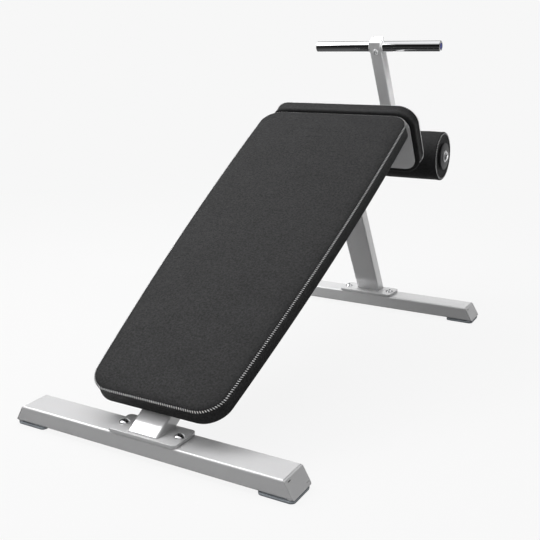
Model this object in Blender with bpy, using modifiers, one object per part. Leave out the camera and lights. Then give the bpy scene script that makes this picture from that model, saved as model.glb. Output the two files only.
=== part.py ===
"""Abdominal bench: a decline bench on two foot beams, with a long back pad, a leg pad square to it,
two ankle rollers on an arm below the leg pad and a grip bar on a post between the user's knees.

Metres, +Z up, +X to one side, +Y from the low end to the high end. The origin lies on the floor in
the middle of the bench's outer box. The sloped pieces hang on an empty that is turned by the slope:
in its space Y runs up along the back pad and Z stands square to the pad.
"""

import math

import bmesh
import bpy
from mathutils import Euler, Matrix, Vector

# Clearances and mesh fineness
GAP = 0.0003
MERGE = 0.00001
CORNER_STEPS = 3
BOLT_STEPS = 12
PIPE_STEPS = 24
ROLLER_STEPS = 32
SMOOTH_ANGLE = math.radians(35)
EASED_ANGLE = math.radians(50)

# Slope of the back pad, and the distance between the two foot beams
SLOPE = math.radians(30)
BEAM_SPACING = 1.228

# Rectangular tube of the foot beams, the main beam and the upright
TUBE_WIDTH = 0.080
TUBE_DEPTH = 0.040
TUBE_WALL = 0.003
TUBE_CORNER = 0.005

# Foot beams, with ends cut at a slant and closed by welded plates
BEAM_LENGTH = 0.748
BEAM_END_SLANT = math.radians(30)
END_PLATE = 0.003
END_PLATE_EDGE = 0.0012

# Rubber feet under the ends of the foot beams
FOOT_LENGTH = 0.085
FOOT_THICKNESS = 0.009
FOOT_SIDE_MARGIN = 0.001
FOOT_END_MARGIN = 0.001
FOOT_CORNER = 0.011
FOOT_EDGE = 0.0014
FOOT_GROOVE = 0.0012
FOOT_GROOVE_WIDTH = 0.0018

# Base plates on the foot beams, with their bolts and the nuts welded inside the beams
PLATE_LENGTH = 0.184
PLATE_OVERHANG = 0.0015
PLATE_THICKNESS = 0.008
PLATE_CORNER = 0.011
PLATE_EDGE = 0.002
PLATE_BOLT_INSET = 0.017
PLATE_BOLT_RADIUS = 0.006
PLATE_BOLT_HEAD_RADIUS = 0.0105
PLATE_BOLT_HEAD = 0.0066
PLATE_BOLT_LENGTH = 0.028
PLATE_NUT_ACROSS_FLATS = 0.018
PLATE_NUT_HEIGHT = 0.0108

# Button heads, as shares of the head's radius and height
HEAD_FLAT = 0.60
HEAD_SOCKET = 0.45
HEAD_SOCKET_DEPTH = 0.55
HEAD_BRIM = 0.25

# Main beam and upright
MAIN_BEAM_RISE = 0.029
MAIN_BEAM_OVERHANG = 0.022
UPRIGHT_SETBACK = 0.0139

# Brackets that carry the back pad
BRACKET_LENGTH = 0.060
BRACKET_WIDTH = 0.240
BRACKET_THICKNESS = 0.0064
BRACKET_CORNER = 0.008
BRACKET_EDGE = 0.0010
BRACKET_INSET = 0.200
BRACKET_BOLT_INSET = 0.030

# Back pad, wider at the high end and bowed at its sides
PAD_LENGTH = 1.0909
PAD_END_GAP = 0.0021
PAD_HALF_WIDTH = 0.2028
PAD_BOW = 0.0159
PAD_TAPER = 0.0308
PAD_WALL = 0.0415
PAD_CROWN = 0.007
PAD_CORNER = 0.056

# Leg pad and the steel plate behind it
LEG_PAD_HEIGHT = 0.214
LEG_PAD_RISE = 0.005
LEG_PAD_HALF_WIDTH = 0.233
LEG_PAD_WALL = 0.038
LEG_PAD_CROWN = 0.006
LEG_PAD_CORNER = 0.055
LEG_PLATE_WIDTH = 0.440
LEG_PLATE_HEIGHT = 0.176
LEG_PLATE_THICKNESS = 0.006
LEG_PLATE_CORNER = 0.034
LEG_PLATE_EDGE = 0.0015
LEG_SCREW_SIDE = 0.063
LEG_SCREW_LOW = 0.034
LEG_SCREW_HIGH = 0.043

# Backing boards inside the cushions, and the bolts that hold them
BOARD_THICKNESS = 0.015
BOARD_MARGIN = 0.014
BOARD_PLAY = 0.0030
RIM_ROUND = 0.006
WALL_DRAW = 0.0015
CROWN_SHOULDER = 0.010
CROWN_SHOULDER_RISE = 0.62
CROWN_RUN = 0.046
LEAST_CORNER = 0.004
BOARD_BOLT_RADIUS = 0.004
BOARD_BOLT_HEAD_RADIUS = 0.007
BOARD_BOLT_HEAD = 0.0044
BOARD_BOLT_BITE = 0.012

# Arm that carries the rollers and the grip post
ARM_WIDTH = 0.040
ARM_DEPTH = 0.060
ARM_DROP = 0.196
ROLLER_REACH = 0.218
POST_REACH = 0.379

# Grip post and grip bar
POST_SIZE = 0.040
POST_WALL = 0.0025
POST_CORNER = 0.004
GRIP_RISE = 0.2688
POST_ABOVE_BAR = 0.0245
BAR_LENGTH = 0.4254
BAR_RADIUS = 0.01685
BAR_WALL = 0.0026
BAR_PLUG_FLANGE = 0.0012
BAR_PLUG_INSET = 0.0019
BAR_PLUG_ROUND = 0.0009
BAR_PLUG_DEPTH = 0.020
POST_SCREW_DROP = 0.008
POST_SCREW_RADIUS = 0.004
POST_SCREW_HEAD_RADIUS = 0.009
POST_SCREW_HEAD = 0.0046
POST_SCREW_LENGTH = 0.0035

# Ankle rollers and their axle
AXLE_RADIUS = 0.008
AXLE_CHAMFER = 0.001
ROLLER_RADIUS = 0.077
ROLLER_LENGTH = 0.203
ROLLER_SIDE_GAP = 0.010
ROLLER_CORE_RADIUS = 0.025
ROLLER_CORE_WALL = 0.003
ROLLER_SEAM = 0.0035
ROLLER_CROWN = 0.0015
ROLLER_SHOULDER = 0.0325
HUB_RADIUS = 0.0425
HUB_EDGE = 0.0012
HUB_FLANGE = 0.006
HUB_SPIGOT = 0.018
SPACER_RADIUS = 0.016
WASHER_RADIUS = 0.0185
WASHER_THICKNESS = 0.002
NUT_ACROSS_FLATS = 0.024
NUT_CHAMFER = 0.0006
NUT_HEX_HEIGHT = 0.0038
NUT_DOME_INSET = 0.0007
NUT_HEIGHT = 0.0066
NUT_BITE = 0.0045

# Sizes that follow from those above
SINE = math.sin(SLOPE)
COSINE = math.cos(SLOPE)
BEAM_BOTTOM = FOOT_THICKNESS
BEAM_TOP = BEAM_BOTTOM + TUBE_DEPTH
DECK = BEAM_TOP + PLATE_THICKNESS
PLATE_DEPTH = TUBE_WIDTH + 2 * PLATE_OVERHANG
UPRIGHT_Y = (BEAM_SPACING + UPRIGHT_SETBACK) * COSINE + DECK * SINE
UPRIGHT_BACK = UPRIGHT_Y + TUBE_DEPTH / 2
MAIN_BEAM_TOP = MAIN_BEAM_RISE + TUBE_DEPTH
LEG_PLATE_FACE = UPRIGHT_BACK + MAIN_BEAM_OVERHANG
PAD_UNDERSIDE = MAIN_BEAM_TOP + BRACKET_THICKNESS + GAP
PAD_CENTRE = LEG_PLATE_FACE - PAD_END_GAP - PAD_LENGTH / 2
LEG_PAD_TOP = PAD_UNDERSIDE + PAD_WALL + LEG_PAD_RISE
LEG_PAD_CENTRE = LEG_PAD_TOP - LEG_PAD_HEIGHT / 2
LEG_PAD_BACK = LEG_PLATE_FACE + LEG_PLATE_THICKNESS + GAP
ARM_CENTRE = MAIN_BEAM_RISE - ARM_DROP
ARM_TOP = ARM_CENTRE + ARM_DEPTH / 2
ROLLER_Y = UPRIGHT_BACK + ROLLER_REACH
POST_Y = UPRIGHT_BACK + POST_REACH
ARM_END = POST_Y + POST_SIZE / 2
BAR_Z = ARM_TOP + GRIP_RISE
POST_TOP = BAR_Z + POST_ABOVE_BAR
ROLLER_INNER = ARM_WIDTH / 2 + ROLLER_SIDE_GAP
ROLLER_OUTER = ROLLER_INNER + ROLLER_LENGTH
WASHER_X = ROLLER_OUTER + HUB_FLANGE + GAP
NUT_X = WASHER_X + WASHER_THICKNESS + GAP
AXLE_HALF_LENGTH = NUT_X + NUT_BITE
REAR_CORNER = (ARM_END + END_PLATE) * COSINE - (ARM_CENTRE - ARM_DEPTH / 2) * SINE
EASED_AWAY = END_PLATE_EDGE * (COSINE + SINE - math.cos(math.radians(45) - SLOPE))
REAR_REACH = REAR_CORNER - EASED_AWAY
FRONT_BEAM_Y = (PLATE_DEPTH / 2 - REAR_REACH) / 2
REAR_BEAM_Y = FRONT_BEAM_Y + BEAM_SPACING

SIDES = (("left", -1), ("right", 1))
TURN_TO_X = (0, math.radians(90), 0)
TURN_TO_Y = (math.radians(-90), 0, 0)
NO_TURN = (0, 0, 0)


def clear_scene():
    for old in list(bpy.data.objects):
        bpy.data.objects.remove(old, do_unlink=True)


def new_collection(name):
    collection = bpy.data.collections.new(name)
    bpy.context.scene.collection.children.link(collection)
    return collection


clear_scene()
PARTS = new_collection("abdominal_bench")
CUTTERS = new_collection("cutters")


def new_material(name, colour, roughness, metallic):
    material = bpy.data.materials.new(name)
    material.use_nodes = True
    shader = material.node_tree.nodes["Principled BSDF"]
    shader.inputs["Base Color"].default_value = (*colour, 1.0)
    shader.inputs["Roughness"].default_value = roughness
    shader.inputs["Metallic"].default_value = metallic
    material.diffuse_color = (*colour, 1.0)
    return material


SILVER_PAINT = new_material("silver_paint", (0.60, 0.60, 0.61), 0.38, 0.55)
BLACK_LEATHER = new_material("black_leather", (0.035, 0.035, 0.037), 0.62, 0.0)
BOARD_WOOD = new_material("black_board", (0.045, 0.040, 0.036), 0.80, 0.0)
FOOT_RUBBER = new_material("foot_rubber", (0.060, 0.065, 0.072), 0.70, 0.0)
CHROME = new_material("chrome", (0.82, 0.83, 0.84), 0.08, 1.0)
ZINC_STEEL = new_material("zinc_steel", (0.62, 0.63, 0.64), 0.28, 1.0)
HUB_PLASTIC = new_material("hub_plastic", (0.095, 0.096, 0.100), 0.50, 0.0)
PLUG_PLASTIC = new_material("plug_plastic", (0.020, 0.022, 0.045), 0.25, 0.0)


def placed(obj, parent, location, rotation):
    obj.parent = parent
    obj.location = location
    obj.rotation_euler = rotation
    return obj


def add_part(name, mesh, material, parent, location=(0, 0, 0), rotation=NO_TURN):
    obj = bpy.data.objects.new(name, mesh)
    obj.data.materials.append(material)
    PARTS.objects.link(obj)
    return placed(obj, parent, location, rotation)


def add_empty(name, parent, location, rotation=NO_TURN):
    empty = bpy.data.objects.new(name, None)
    empty.empty_display_size = 0.05
    PARTS.objects.link(empty)
    return placed(empty, parent, location, rotation)


def mesh_from(bm, name):
    mesh = bpy.data.meshes.new(name)
    bmesh.ops.recalc_face_normals(bm, faces=bm.faces)
    bm.to_mesh(mesh)
    bm.free()
    return mesh


def shade_round(mesh):
    mesh.shade_smooth()
    mesh.set_sharp_from_angle(angle=SMOOTH_ANGLE)


def ease_edges(part, width):
    bevel = part.modifiers.new("eased_edges", "BEVEL")
    bevel.width = width
    bevel.segments = 2
    bevel.limit_method = "ANGLE"
    bevel.angle_limit = EASED_ANGLE


def drill(part, radius, length, location, rotation=NO_TURN, steps=BOLT_STEPS):
    """Cut a round hole into a part; the place is given in the space of the part's parent."""
    bm = bmesh.new()
    bmesh.ops.create_cone(bm, cap_ends=True, segments=steps, radius1=radius, radius2=radius, depth=length)
    name = part.name + "_hole"
    cutter = bpy.data.objects.new(name, mesh_from(bm, name))
    cutter.hide_render = True
    cutter.display_type = "WIRE"
    CUTTERS.objects.link(cutter)
    placed(cutter, part.parent, location, rotation)
    cut = part.modifiers.new("hole", "BOOLEAN")
    cut.operation = "DIFFERENCE"
    cut.solver = "EXACT"
    cut.object = cutter


def rounded_rectangle(width, height, radius, steps=CORNER_STEPS):
    """Points of a rounded rectangle about the origin, counter-clockwise from the right side."""
    points = []
    for index, (sx, sy) in enumerate(((1, 1), (-1, 1), (-1, -1), (1, -1))):
        for step in range(steps + 1):
            angle = math.radians(90) * (index + step / steps)
            x = sx * (width / 2 - radius) + radius * math.cos(angle)
            y = sy * (height / 2 - radius) + radius * math.sin(angle)
            points.append((x, y))
    return points


def loft(bm, rings, closed=False):
    """Join rings of equally many points. The ends are filled, or joined to each other for a tube."""
    rows = [[bm.verts.new(point) for point in ring] for ring in rings]
    count = len(rows[0])
    for low, high in zip(rows, rows[1:] + rows[:1] if closed else rows[1:]):
        for i in range(count):
            j = (i + 1) % count
            bm.faces.new((low[i], low[j], high[j], high[i]))
    if not closed:
        bm.faces.new(rows[0][::-1])
        bm.faces.new(rows[-1])
    return rows


def tube_length(name, size, wall, corner, ends, parent, location, rotation=NO_TURN):
    """A length of rectangular tube along its own Z, or a solid slice of it where the wall is zero.
    Each end is a plane of the parent's space, as a point and a normal, that the walls run up to."""
    inside = Matrix.LocRotScale(Vector(location), Euler(rotation), None).inverted()
    low, high = [(inside @ Vector(point), inside.to_3x3() @ Vector(normal)) for point, normal in ends]
    width, depth = size
    outer = rounded_rectangle(width, depth, corner)

    def ring(outline, point, normal):
        return [(x, y, point.z - ((x - point.x) * normal.x + (y - point.y) * normal.y) / normal.z)
                for x, y in outline]

    rings = [ring(outer, *low), ring(outer, *high)]
    if wall > 0:
        inner = rounded_rectangle(width - 2 * wall, depth - 2 * wall, max(corner - wall, wall / 4))
        rings += [ring(inner, *high), ring(inner, *low)]
    bm = bmesh.new()
    loft(bm, rings, closed=wall > 0)
    return add_part(name, mesh_from(bm, name), SILVER_PAINT, parent, location, rotation)


def flat_plate(name, size, thickness, corner, edge, material, parent, location, rotation=NO_TURN):
    """A plate with round corners that stands on its origin, along its own Z, with eased edges."""
    bm = bmesh.new()
    base = bm.faces.new([bm.verts.new((x, y, 0)) for x, y in rounded_rectangle(*size, corner)])
    grown = bmesh.ops.extrude_face_region(bm, geom=[base])["geom"]
    top = [item for item in grown if isinstance(item, bmesh.types.BMVert)]
    bmesh.ops.translate(bm, verts=top, vec=(0, 0, thickness))
    plate = add_part(name, mesh_from(bm, name), material, parent, location, rotation)
    ease_edges(plate, edge)
    return plate


def turned(name, profile, material, parent, location, rotation=NO_TURN, steps=PIPE_STEPS):
    """A body of revolution about its own Z. The profile, of radii and heights, runs down the outer
    side; a profile that starts off the axis is a ring, and closes on itself."""
    count = len(profile)
    edges = [(i, i + 1) for i in range(count - 1)]
    if profile[0][0] > 0:
        edges.append((count - 1, 0))
    mesh = bpy.data.meshes.new(name)
    mesh.from_pydata([(radius, 0, height) for radius, height in profile], edges, [])
    part = add_part(name, mesh, material, parent, location, rotation)
    screw = part.modifiers.new("turn", "SCREW")
    screw.steps = steps
    screw.render_steps = steps
    screw.use_merge_vertices = True
    screw.merge_threshold = MERGE
    depsgraph = bpy.context.evaluated_depsgraph_get()
    part.data = bpy.data.meshes.new_from_object(part.evaluated_get(depsgraph))
    part.modifiers.clear()
    bpy.data.meshes.remove(mesh)
    part.data.name = name
    shade_round(part.data)
    return part


def button_bolt(name, radius, head_radius, head, length, parent, location, rotation=NO_TURN):
    """A button-head bolt with a socket; its head stands on the origin and its shank points down."""
    socket = HEAD_SOCKET * head_radius
    socket_floor = (1 - HEAD_SOCKET_DEPTH) * head
    flat = HEAD_FLAT * head_radius
    brim = HEAD_BRIM * head
    dome = []
    for angle in (90, 45, 0):
        turn = math.radians(angle)
        radial = flat + (head_radius - flat) * math.cos(turn)
        dome.append((radial, brim + (head - brim) * math.sin(turn)))
    profile = [(0, socket_floor), (socket, socket_floor), (socket, head)] + dome
    profile += [(head_radius, 0), (radius, 0), (radius, -length), (0, -length)]
    return turned(name, profile, ZINC_STEEL, parent, location, rotation, BOLT_STEPS)


def hexagon(across_flats, radius, height, steps=BOLT_STEPS):
    """A ring of points, of the given radius, that the flats of a hexagon cut back."""
    points = []
    for step in range(steps):
        angle = math.radians(360) * step / steps
        from_flat = (angle + math.radians(30)) % math.radians(60) - math.radians(30)
        reach = min(radius, across_flats / 2 / math.cos(from_flat))
        points.append((reach * math.cos(angle), reach * math.sin(angle), height))
    return points


def weld_nut(name, bore, across_flats, height, parent, location):
    """A hexagon nut that hangs from its origin, along its own Z."""
    corner = across_flats / 2 / math.cos(math.radians(30))
    rings = [hexagon(across_flats, radius, level)
             for radius, level in ((bore, 0), (corner, 0), (corner, -height), (bore, -height))]
    bm = bmesh.new()
    loft(bm, rings, closed=True)
    add_part(name, mesh_from(bm, name), ZINC_STEEL, parent, location)


def cushion_outline(half_length, half_width, bow, taper, corner, inset):
    """Half widths along a pad with round corners, as points that run round it counter-clockwise."""
    end = half_length - inset
    round_off = max(corner - inset, LEAST_CORNER)
    straight = end - round_off

    def width_at(y):
        t = y / half_length
        return half_width + bow * (1 - t * t) + taper * t - inset

    right = []
    for step in range(CORNER_STEPS + 2):
        angle = math.radians(90) * step / (CORNER_STEPS + 1)
        y = -straight - round_off * math.cos(angle)
        right.append((width_at(y) - round_off * (1 - math.sin(angle)), y))
    side_steps = 4 if half_length > 2 * half_width else 2
    middle = [-straight + 2 * straight * step / side_steps for step in range(1, side_steps)]
    upper = [(width_at(-y) - (width_at(y) - x), -y) for x, y in reversed(right)]
    right = right + [(width_at(y), y) for y in middle] + upper
    return right + [(-x, y) for x, y in reversed(right)]


def cushion(name, outline, wall, crown, parent, location, rotation):
    """A padded cushion that stands on its rim: a pocket for the board, drawn-in sides, a seam and
    a crowned top."""
    pocket = BOARD_THICKNESS + GAP
    layers = [(BOARD_MARGIN, pocket), (BOARD_MARGIN, 0), (RIM_ROUND, 0), (0, RIM_ROUND),
              (WALL_DRAW, wall / 2), (0, wall), (CROWN_SHOULDER, wall + CROWN_SHOULDER_RISE * crown),
              (CROWN_RUN, wall + crown)]
    rings = [[(x, y, height) for x, y in outline(inset)] for inset, height in layers]
    bm = bmesh.new()
    rows = loft(bm, rings)
    crease = bm.edges.layers.float.new("crease_edge")
    for row in (rows[0], rows[1], rows[5]):
        for i in range(len(row)):
            bm.edges.get((row[i - 1], row[i]))[crease] = 1.0
    part = add_part(name, mesh_from(bm, name), BLACK_LEATHER, parent, location, rotation)
    part.data.shade_smooth()
    smooth = part.modifiers.new("soft_form", "SUBSURF")
    smooth.levels = 1
    smooth.render_levels = 1
    return part


def board(name, outline, parent, location, rotation):
    """The plywood board that fills a cushion's pocket."""
    bm = bmesh.new()
    edge = [(x, y, 0) for x, y in outline(BOARD_MARGIN + BOARD_PLAY)]
    loft(bm, [edge, [(x, y, BOARD_THICKNESS) for x, y, _ in edge]])
    return add_part(name, mesh_from(bm, name), BOARD_WOOD, parent, location, rotation)


def foot_beam(end, station):
    """A foot beam with slanted ends, its two end plates and its two rubber feet."""
    middle = (0, 0, BEAM_BOTTOM + TUBE_DEPTH / 2)
    size = (TUBE_DEPTH, TUBE_WIDTH)
    faces = []
    for _, side in SIDES:
        normal = Vector((side * math.cos(BEAM_END_SLANT), 0, math.sin(BEAM_END_SLANT)))
        foot = Vector((side * BEAM_LENGTH / 2, 0, BEAM_BOTTOM))
        faces.append((foot, normal))
    ends = [(foot - normal * (END_PLATE + GAP), normal) for foot, normal in faces]
    beam = tube_length(end + "_foot_beam", size, TUBE_WALL, TUBE_CORNER, ends, station, middle, TURN_TO_X)
    for (name, side), (foot, normal) in zip(SIDES, faces):
        plate_ends = [(foot - normal * END_PLATE, normal), (foot, normal)]
        plate = tube_length(f"{end}_end_plate_{name}", size, 0, TUBE_CORNER, plate_ends, station, middle,
                            TURN_TO_X)
        ease_edges(plate, END_PLATE_EDGE)
        rubber_foot(f"{end}_rubber_foot_{name}", station, side)
        bolt_x = side * (PLATE_LENGTH / 2 - PLATE_BOLT_INSET)
        drill(beam, PLATE_BOLT_RADIUS + GAP, TUBE_DEPTH / 2, (bolt_x, 0, BEAM_TOP))
        weld_nut(f"{end}_plate_nut_{name}", PLATE_BOLT_RADIUS + GAP, PLATE_NUT_ACROSS_FLATS,
                 PLATE_NUT_HEIGHT, station, (bolt_x, 0, BEAM_TOP - TUBE_WALL - GAP))


def rubber_foot(name, station, side):
    """A rubber foot with a groove round its middle."""
    width = TUBE_WIDTH - 2 * FOOT_SIDE_MARGIN
    top = FOOT_THICKNESS - GAP
    layers = ((FOOT_EDGE, 0), (0, FOOT_EDGE), (0, (top - FOOT_GROOVE_WIDTH) / 2), (FOOT_GROOVE, top / 2),
              (0, (top + FOOT_GROOVE_WIDTH) / 2), (0, top))
    rings = []
    for inset, height in layers:
        outline = rounded_rectangle(FOOT_LENGTH - 2 * inset, width - 2 * inset, FOOT_CORNER - inset)
        rings.append([(x, y, height) for x, y in outline])
    bm = bmesh.new()
    loft(bm, rings)
    x = side * (BEAM_LENGTH / 2 - FOOT_END_MARGIN - FOOT_LENGTH / 2)
    add_part(name, mesh_from(bm, name), FOOT_RUBBER, station, (x, 0, 0))


def base_plate(end, station):
    """A base plate on a foot beam, with its two bolts."""
    plate = flat_plate(end + "_base_plate", (PLATE_LENGTH, PLATE_DEPTH), PLATE_THICKNESS - GAP,
                       PLATE_CORNER, PLATE_EDGE, SILVER_PAINT, station, (0, 0, BEAM_TOP + GAP))
    for name, side in SIDES:
        bolt_x = side * (PLATE_LENGTH / 2 - PLATE_BOLT_INSET)
        drill(plate, PLATE_BOLT_RADIUS + GAP, 3 * PLATE_THICKNESS, (bolt_x, 0, DECK))
        button_bolt(f"{end}_plate_bolt_{name}", PLATE_BOLT_RADIUS, PLATE_BOLT_HEAD_RADIUS,
                    PLATE_BOLT_HEAD, PLATE_BOLT_LENGTH, station, (bolt_x, 0, DECK + GAP))


def frame_tubes(slope):
    """The main beam under the back pad and the upright that carries its high end."""
    deck = ((0, 0, (DECK + GAP) / COSINE), (0, -SINE, -COSINE))
    size = (TUBE_WIDTH, TUBE_DEPTH)
    upper = ((0, LEG_PLATE_FACE - GAP, 0), (0, 1, 0))
    tube_length("main_beam", size, TUBE_WALL, TUBE_CORNER, (deck, upper), slope,
                (0, 0, MAIN_BEAM_RISE + TUBE_DEPTH / 2), TURN_TO_Y)
    under_beam = ((0, 0, MAIN_BEAM_RISE - GAP), (0, 0, 1))
    tube_length("rear_upright", size, TUBE_WALL, TUBE_CORNER, (deck, under_beam), slope,
                (0, UPRIGHT_Y, 0))


def back_pad(slope):
    """The back pad: cushion, board, brackets across the main beam and their bolts."""
    def outline(inset):
        return cushion_outline(PAD_LENGTH / 2, PAD_HALF_WIDTH, PAD_BOW, PAD_TAPER, PAD_CORNER, inset)

    place = (0, PAD_CENTRE, PAD_UNDERSIDE)
    cushion("back_pad_cushion", outline, PAD_WALL, PAD_CROWN, slope, place, NO_TURN)
    wood = board("back_pad_board", outline, slope, place, NO_TURN)
    for level, end in (("lower", -1), ("upper", 1)):
        y = PAD_CENTRE + end * (PAD_LENGTH / 2 - BRACKET_INSET)
        bottom = MAIN_BEAM_TOP + GAP
        bracket = flat_plate(f"pad_bracket_{level}", (BRACKET_WIDTH, BRACKET_LENGTH),
                             BRACKET_THICKNESS - GAP, BRACKET_CORNER, BRACKET_EDGE, SILVER_PAINT,
                             slope, (0, y, bottom))
        for name, side in SIDES:
            x = side * (BRACKET_WIDTH / 2 - BRACKET_BOLT_INSET)
            hole = BOARD_BOLT_RADIUS + GAP
            drill(bracket, hole, 3 * BRACKET_THICKNESS, (x, y, bottom))
            drill(wood, hole, 4 * BOARD_THICKNESS, (x, y, PAD_UNDERSIDE))
            length = BRACKET_THICKNESS + BOARD_BOLT_BITE
            button_bolt(f"pad_bolt_{level}_{name}", BOARD_BOLT_RADIUS, BOARD_BOLT_HEAD_RADIUS,
                        BOARD_BOLT_HEAD, length, slope, (x, y, bottom - GAP), (math.pi, 0, 0))


def leg_pad(slope):
    """The leg pad, square to the back pad: steel plate, cushion, board and screws."""
    def outline(inset):
        return cushion_outline(LEG_PAD_HEIGHT / 2, LEG_PAD_HALF_WIDTH, 0, 0, LEG_PAD_CORNER, inset)

    place = (0, LEG_PAD_BACK, LEG_PAD_CENTRE)
    cushion("leg_pad_cushion", outline, LEG_PAD_WALL, LEG_PAD_CROWN, slope, place, TURN_TO_Y)
    wood = board("leg_pad_board", outline, slope, place, TURN_TO_Y)
    plate = flat_plate("leg_pad_plate", (LEG_PLATE_WIDTH, LEG_PLATE_HEIGHT), LEG_PLATE_THICKNESS,
                       LEG_PLATE_CORNER, LEG_PLATE_EDGE, SILVER_PAINT, slope,
                       (0, LEG_PLATE_FACE, LEG_PAD_CENTRE), TURN_TO_Y)
    low = LEG_PAD_CENTRE - LEG_PLATE_HEIGHT / 2 + LEG_SCREW_LOW
    high = LEG_PAD_CENTRE + LEG_PLATE_HEIGHT / 2 - LEG_SCREW_HIGH
    for level, z in (("lower", low), ("upper", high)):
        for name, side in SIDES:
            x = side * (LEG_PLATE_WIDTH / 2 - LEG_SCREW_SIDE)
            hole = BOARD_BOLT_RADIUS + GAP
            drill(plate, hole, 3 * LEG_PLATE_THICKNESS, (x, LEG_PLATE_FACE, z), TURN_TO_Y)
            drill(wood, hole, 4 * BOARD_THICKNESS, (x, LEG_PAD_BACK, z), TURN_TO_Y)
            length = LEG_PLATE_THICKNESS + BOARD_BOLT_BITE
            button_bolt(f"leg_pad_screw_{level}_{name}", BOARD_BOLT_RADIUS, BOARD_BOLT_HEAD_RADIUS,
                        BOARD_BOLT_HEAD, length, slope, (x, LEG_PLATE_FACE - GAP, z),
                        (math.radians(90), 0, 0))


def roller_arm(slope):
    """The arm from the upright's back to the foot of the grip post, drilled for the axle."""
    ends = [((0, y, 0), (0, 1, 0)) for y in (UPRIGHT_BACK + GAP, ARM_END - GAP)]
    arm = tube_length("roller_arm", (ARM_WIDTH, ARM_DEPTH), TUBE_WALL, TUBE_CORNER, ends, slope,
                      (0, UPRIGHT_BACK, ARM_CENTRE), TURN_TO_Y)
    drill(arm, AXLE_RADIUS + GAP, 2 * ARM_WIDTH, (0, ROLLER_Y, ARM_CENTRE), TURN_TO_X, PIPE_STEPS)
    flat_plate("roller_arm_end_plate", (ARM_WIDTH, ARM_DEPTH), END_PLATE, TUBE_CORNER, END_PLATE_EDGE,
               SILVER_PAINT, slope, (0, ARM_END, ARM_CENTRE), TURN_TO_Y)


def grip_post(slope):
    """The grip post with its top plate, the grip bar through it, the bar's plugs and the screw."""
    top = POST_TOP - END_PLATE
    ends = [((0, 0, z), (0, 0, 1)) for z in (ARM_TOP + GAP, top - GAP)]
    post = tube_length("grip_post", (POST_SIZE, POST_SIZE), POST_WALL, POST_CORNER, ends, slope,
                       (0, POST_Y, ARM_TOP))
    flat_plate("grip_post_top_plate", (POST_SIZE, POST_SIZE), END_PLATE, POST_CORNER, END_PLATE_EDGE,
               SILVER_PAINT, slope, (0, POST_Y, top))
    drill(post, BAR_RADIUS + GAP, 2 * POST_SIZE, (0, POST_Y, BAR_Z), TURN_TO_X, PIPE_STEPS)

    half = BAR_LENGTH / 2 - BAR_PLUG_FLANGE - GAP
    inner = BAR_RADIUS - BAR_WALL
    pipe = [(BAR_RADIUS, half), (BAR_RADIUS, -half), (inner, -half), (inner, half)]
    turned("grip_bar", pipe, CHROME, slope, (0, POST_Y, BAR_Z), TURN_TO_X)
    brim = BAR_RADIUS - BAR_PLUG_INSET
    spigot = inner - GAP
    plug = [(0, BAR_PLUG_FLANGE)]
    for angle in (0, 45, 90):
        turn = math.radians(angle)
        plug.append((brim - BAR_PLUG_ROUND * (1 - math.sin(turn)),
                     BAR_PLUG_FLANGE - BAR_PLUG_ROUND * (1 - math.cos(turn))))
    plug += [(brim, 0), (spigot, 0), (spigot, -BAR_PLUG_DEPTH), (0, -BAR_PLUG_DEPTH)]
    for name, side in SIDES:
        x = side * (BAR_LENGTH / 2 - BAR_PLUG_FLANGE)
        turned(f"grip_bar_plug_{name}", plug, PLUG_PLASTIC, slope, (x, POST_Y, BAR_Z),
               (0, side * math.radians(90), 0))

    screw_z = BAR_Z - POST_SCREW_DROP
    face = POST_Y - POST_SIZE / 2
    drill(post, POST_SCREW_RADIUS + GAP, POST_SIZE / 2, (0, face, screw_z), TURN_TO_Y)
    button_bolt("grip_bar_screw", POST_SCREW_RADIUS, POST_SCREW_HEAD_RADIUS, POST_SCREW_HEAD,
                POST_SCREW_LENGTH, slope, (0, face - GAP, screw_z), (math.radians(90), 0, 0))


def washer(name, radius, thickness, parent, x, outward):
    bore = AXLE_RADIUS + GAP
    ring = [(radius, thickness), (radius, 0), (bore, 0), (bore, thickness)]
    turned(name, ring, ZINC_STEEL, parent, (x, 0, 0), outward)


def domed_nut(name, parent, x, outward):
    """A hexagon nut with a domed end, blind on the outside, threaded onto the axle's end."""
    bore = AXLE_RADIUS + GAP
    corner = NUT_ACROSS_FLATS / 2 / math.cos(math.radians(30))
    dome_radius = NUT_ACROSS_FLATS / 2 - NUT_DOME_INSET
    dome = NUT_HEIGHT - NUT_HEX_HEIGHT
    profile = [(bore, NUT_BITE + GAP), (bore, 0), (corner - NUT_CHAMFER, 0), (corner, NUT_CHAMFER),
               (corner, NUT_HEX_HEIGHT - NUT_CHAMFER)]
    for angle in (0, 30, 60, 85):
        turn = math.radians(angle)
        profile.append((dome_radius * math.cos(turn), NUT_HEX_HEIGHT + dome * math.sin(turn)))
    bm = bmesh.new()
    loft(bm, [hexagon(NUT_ACROSS_FLATS, radius, level, PIPE_STEPS) for radius, level in profile])
    add_part(name, mesh_from(bm, name), CHROME, parent, (x, 0, 0), outward)


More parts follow.
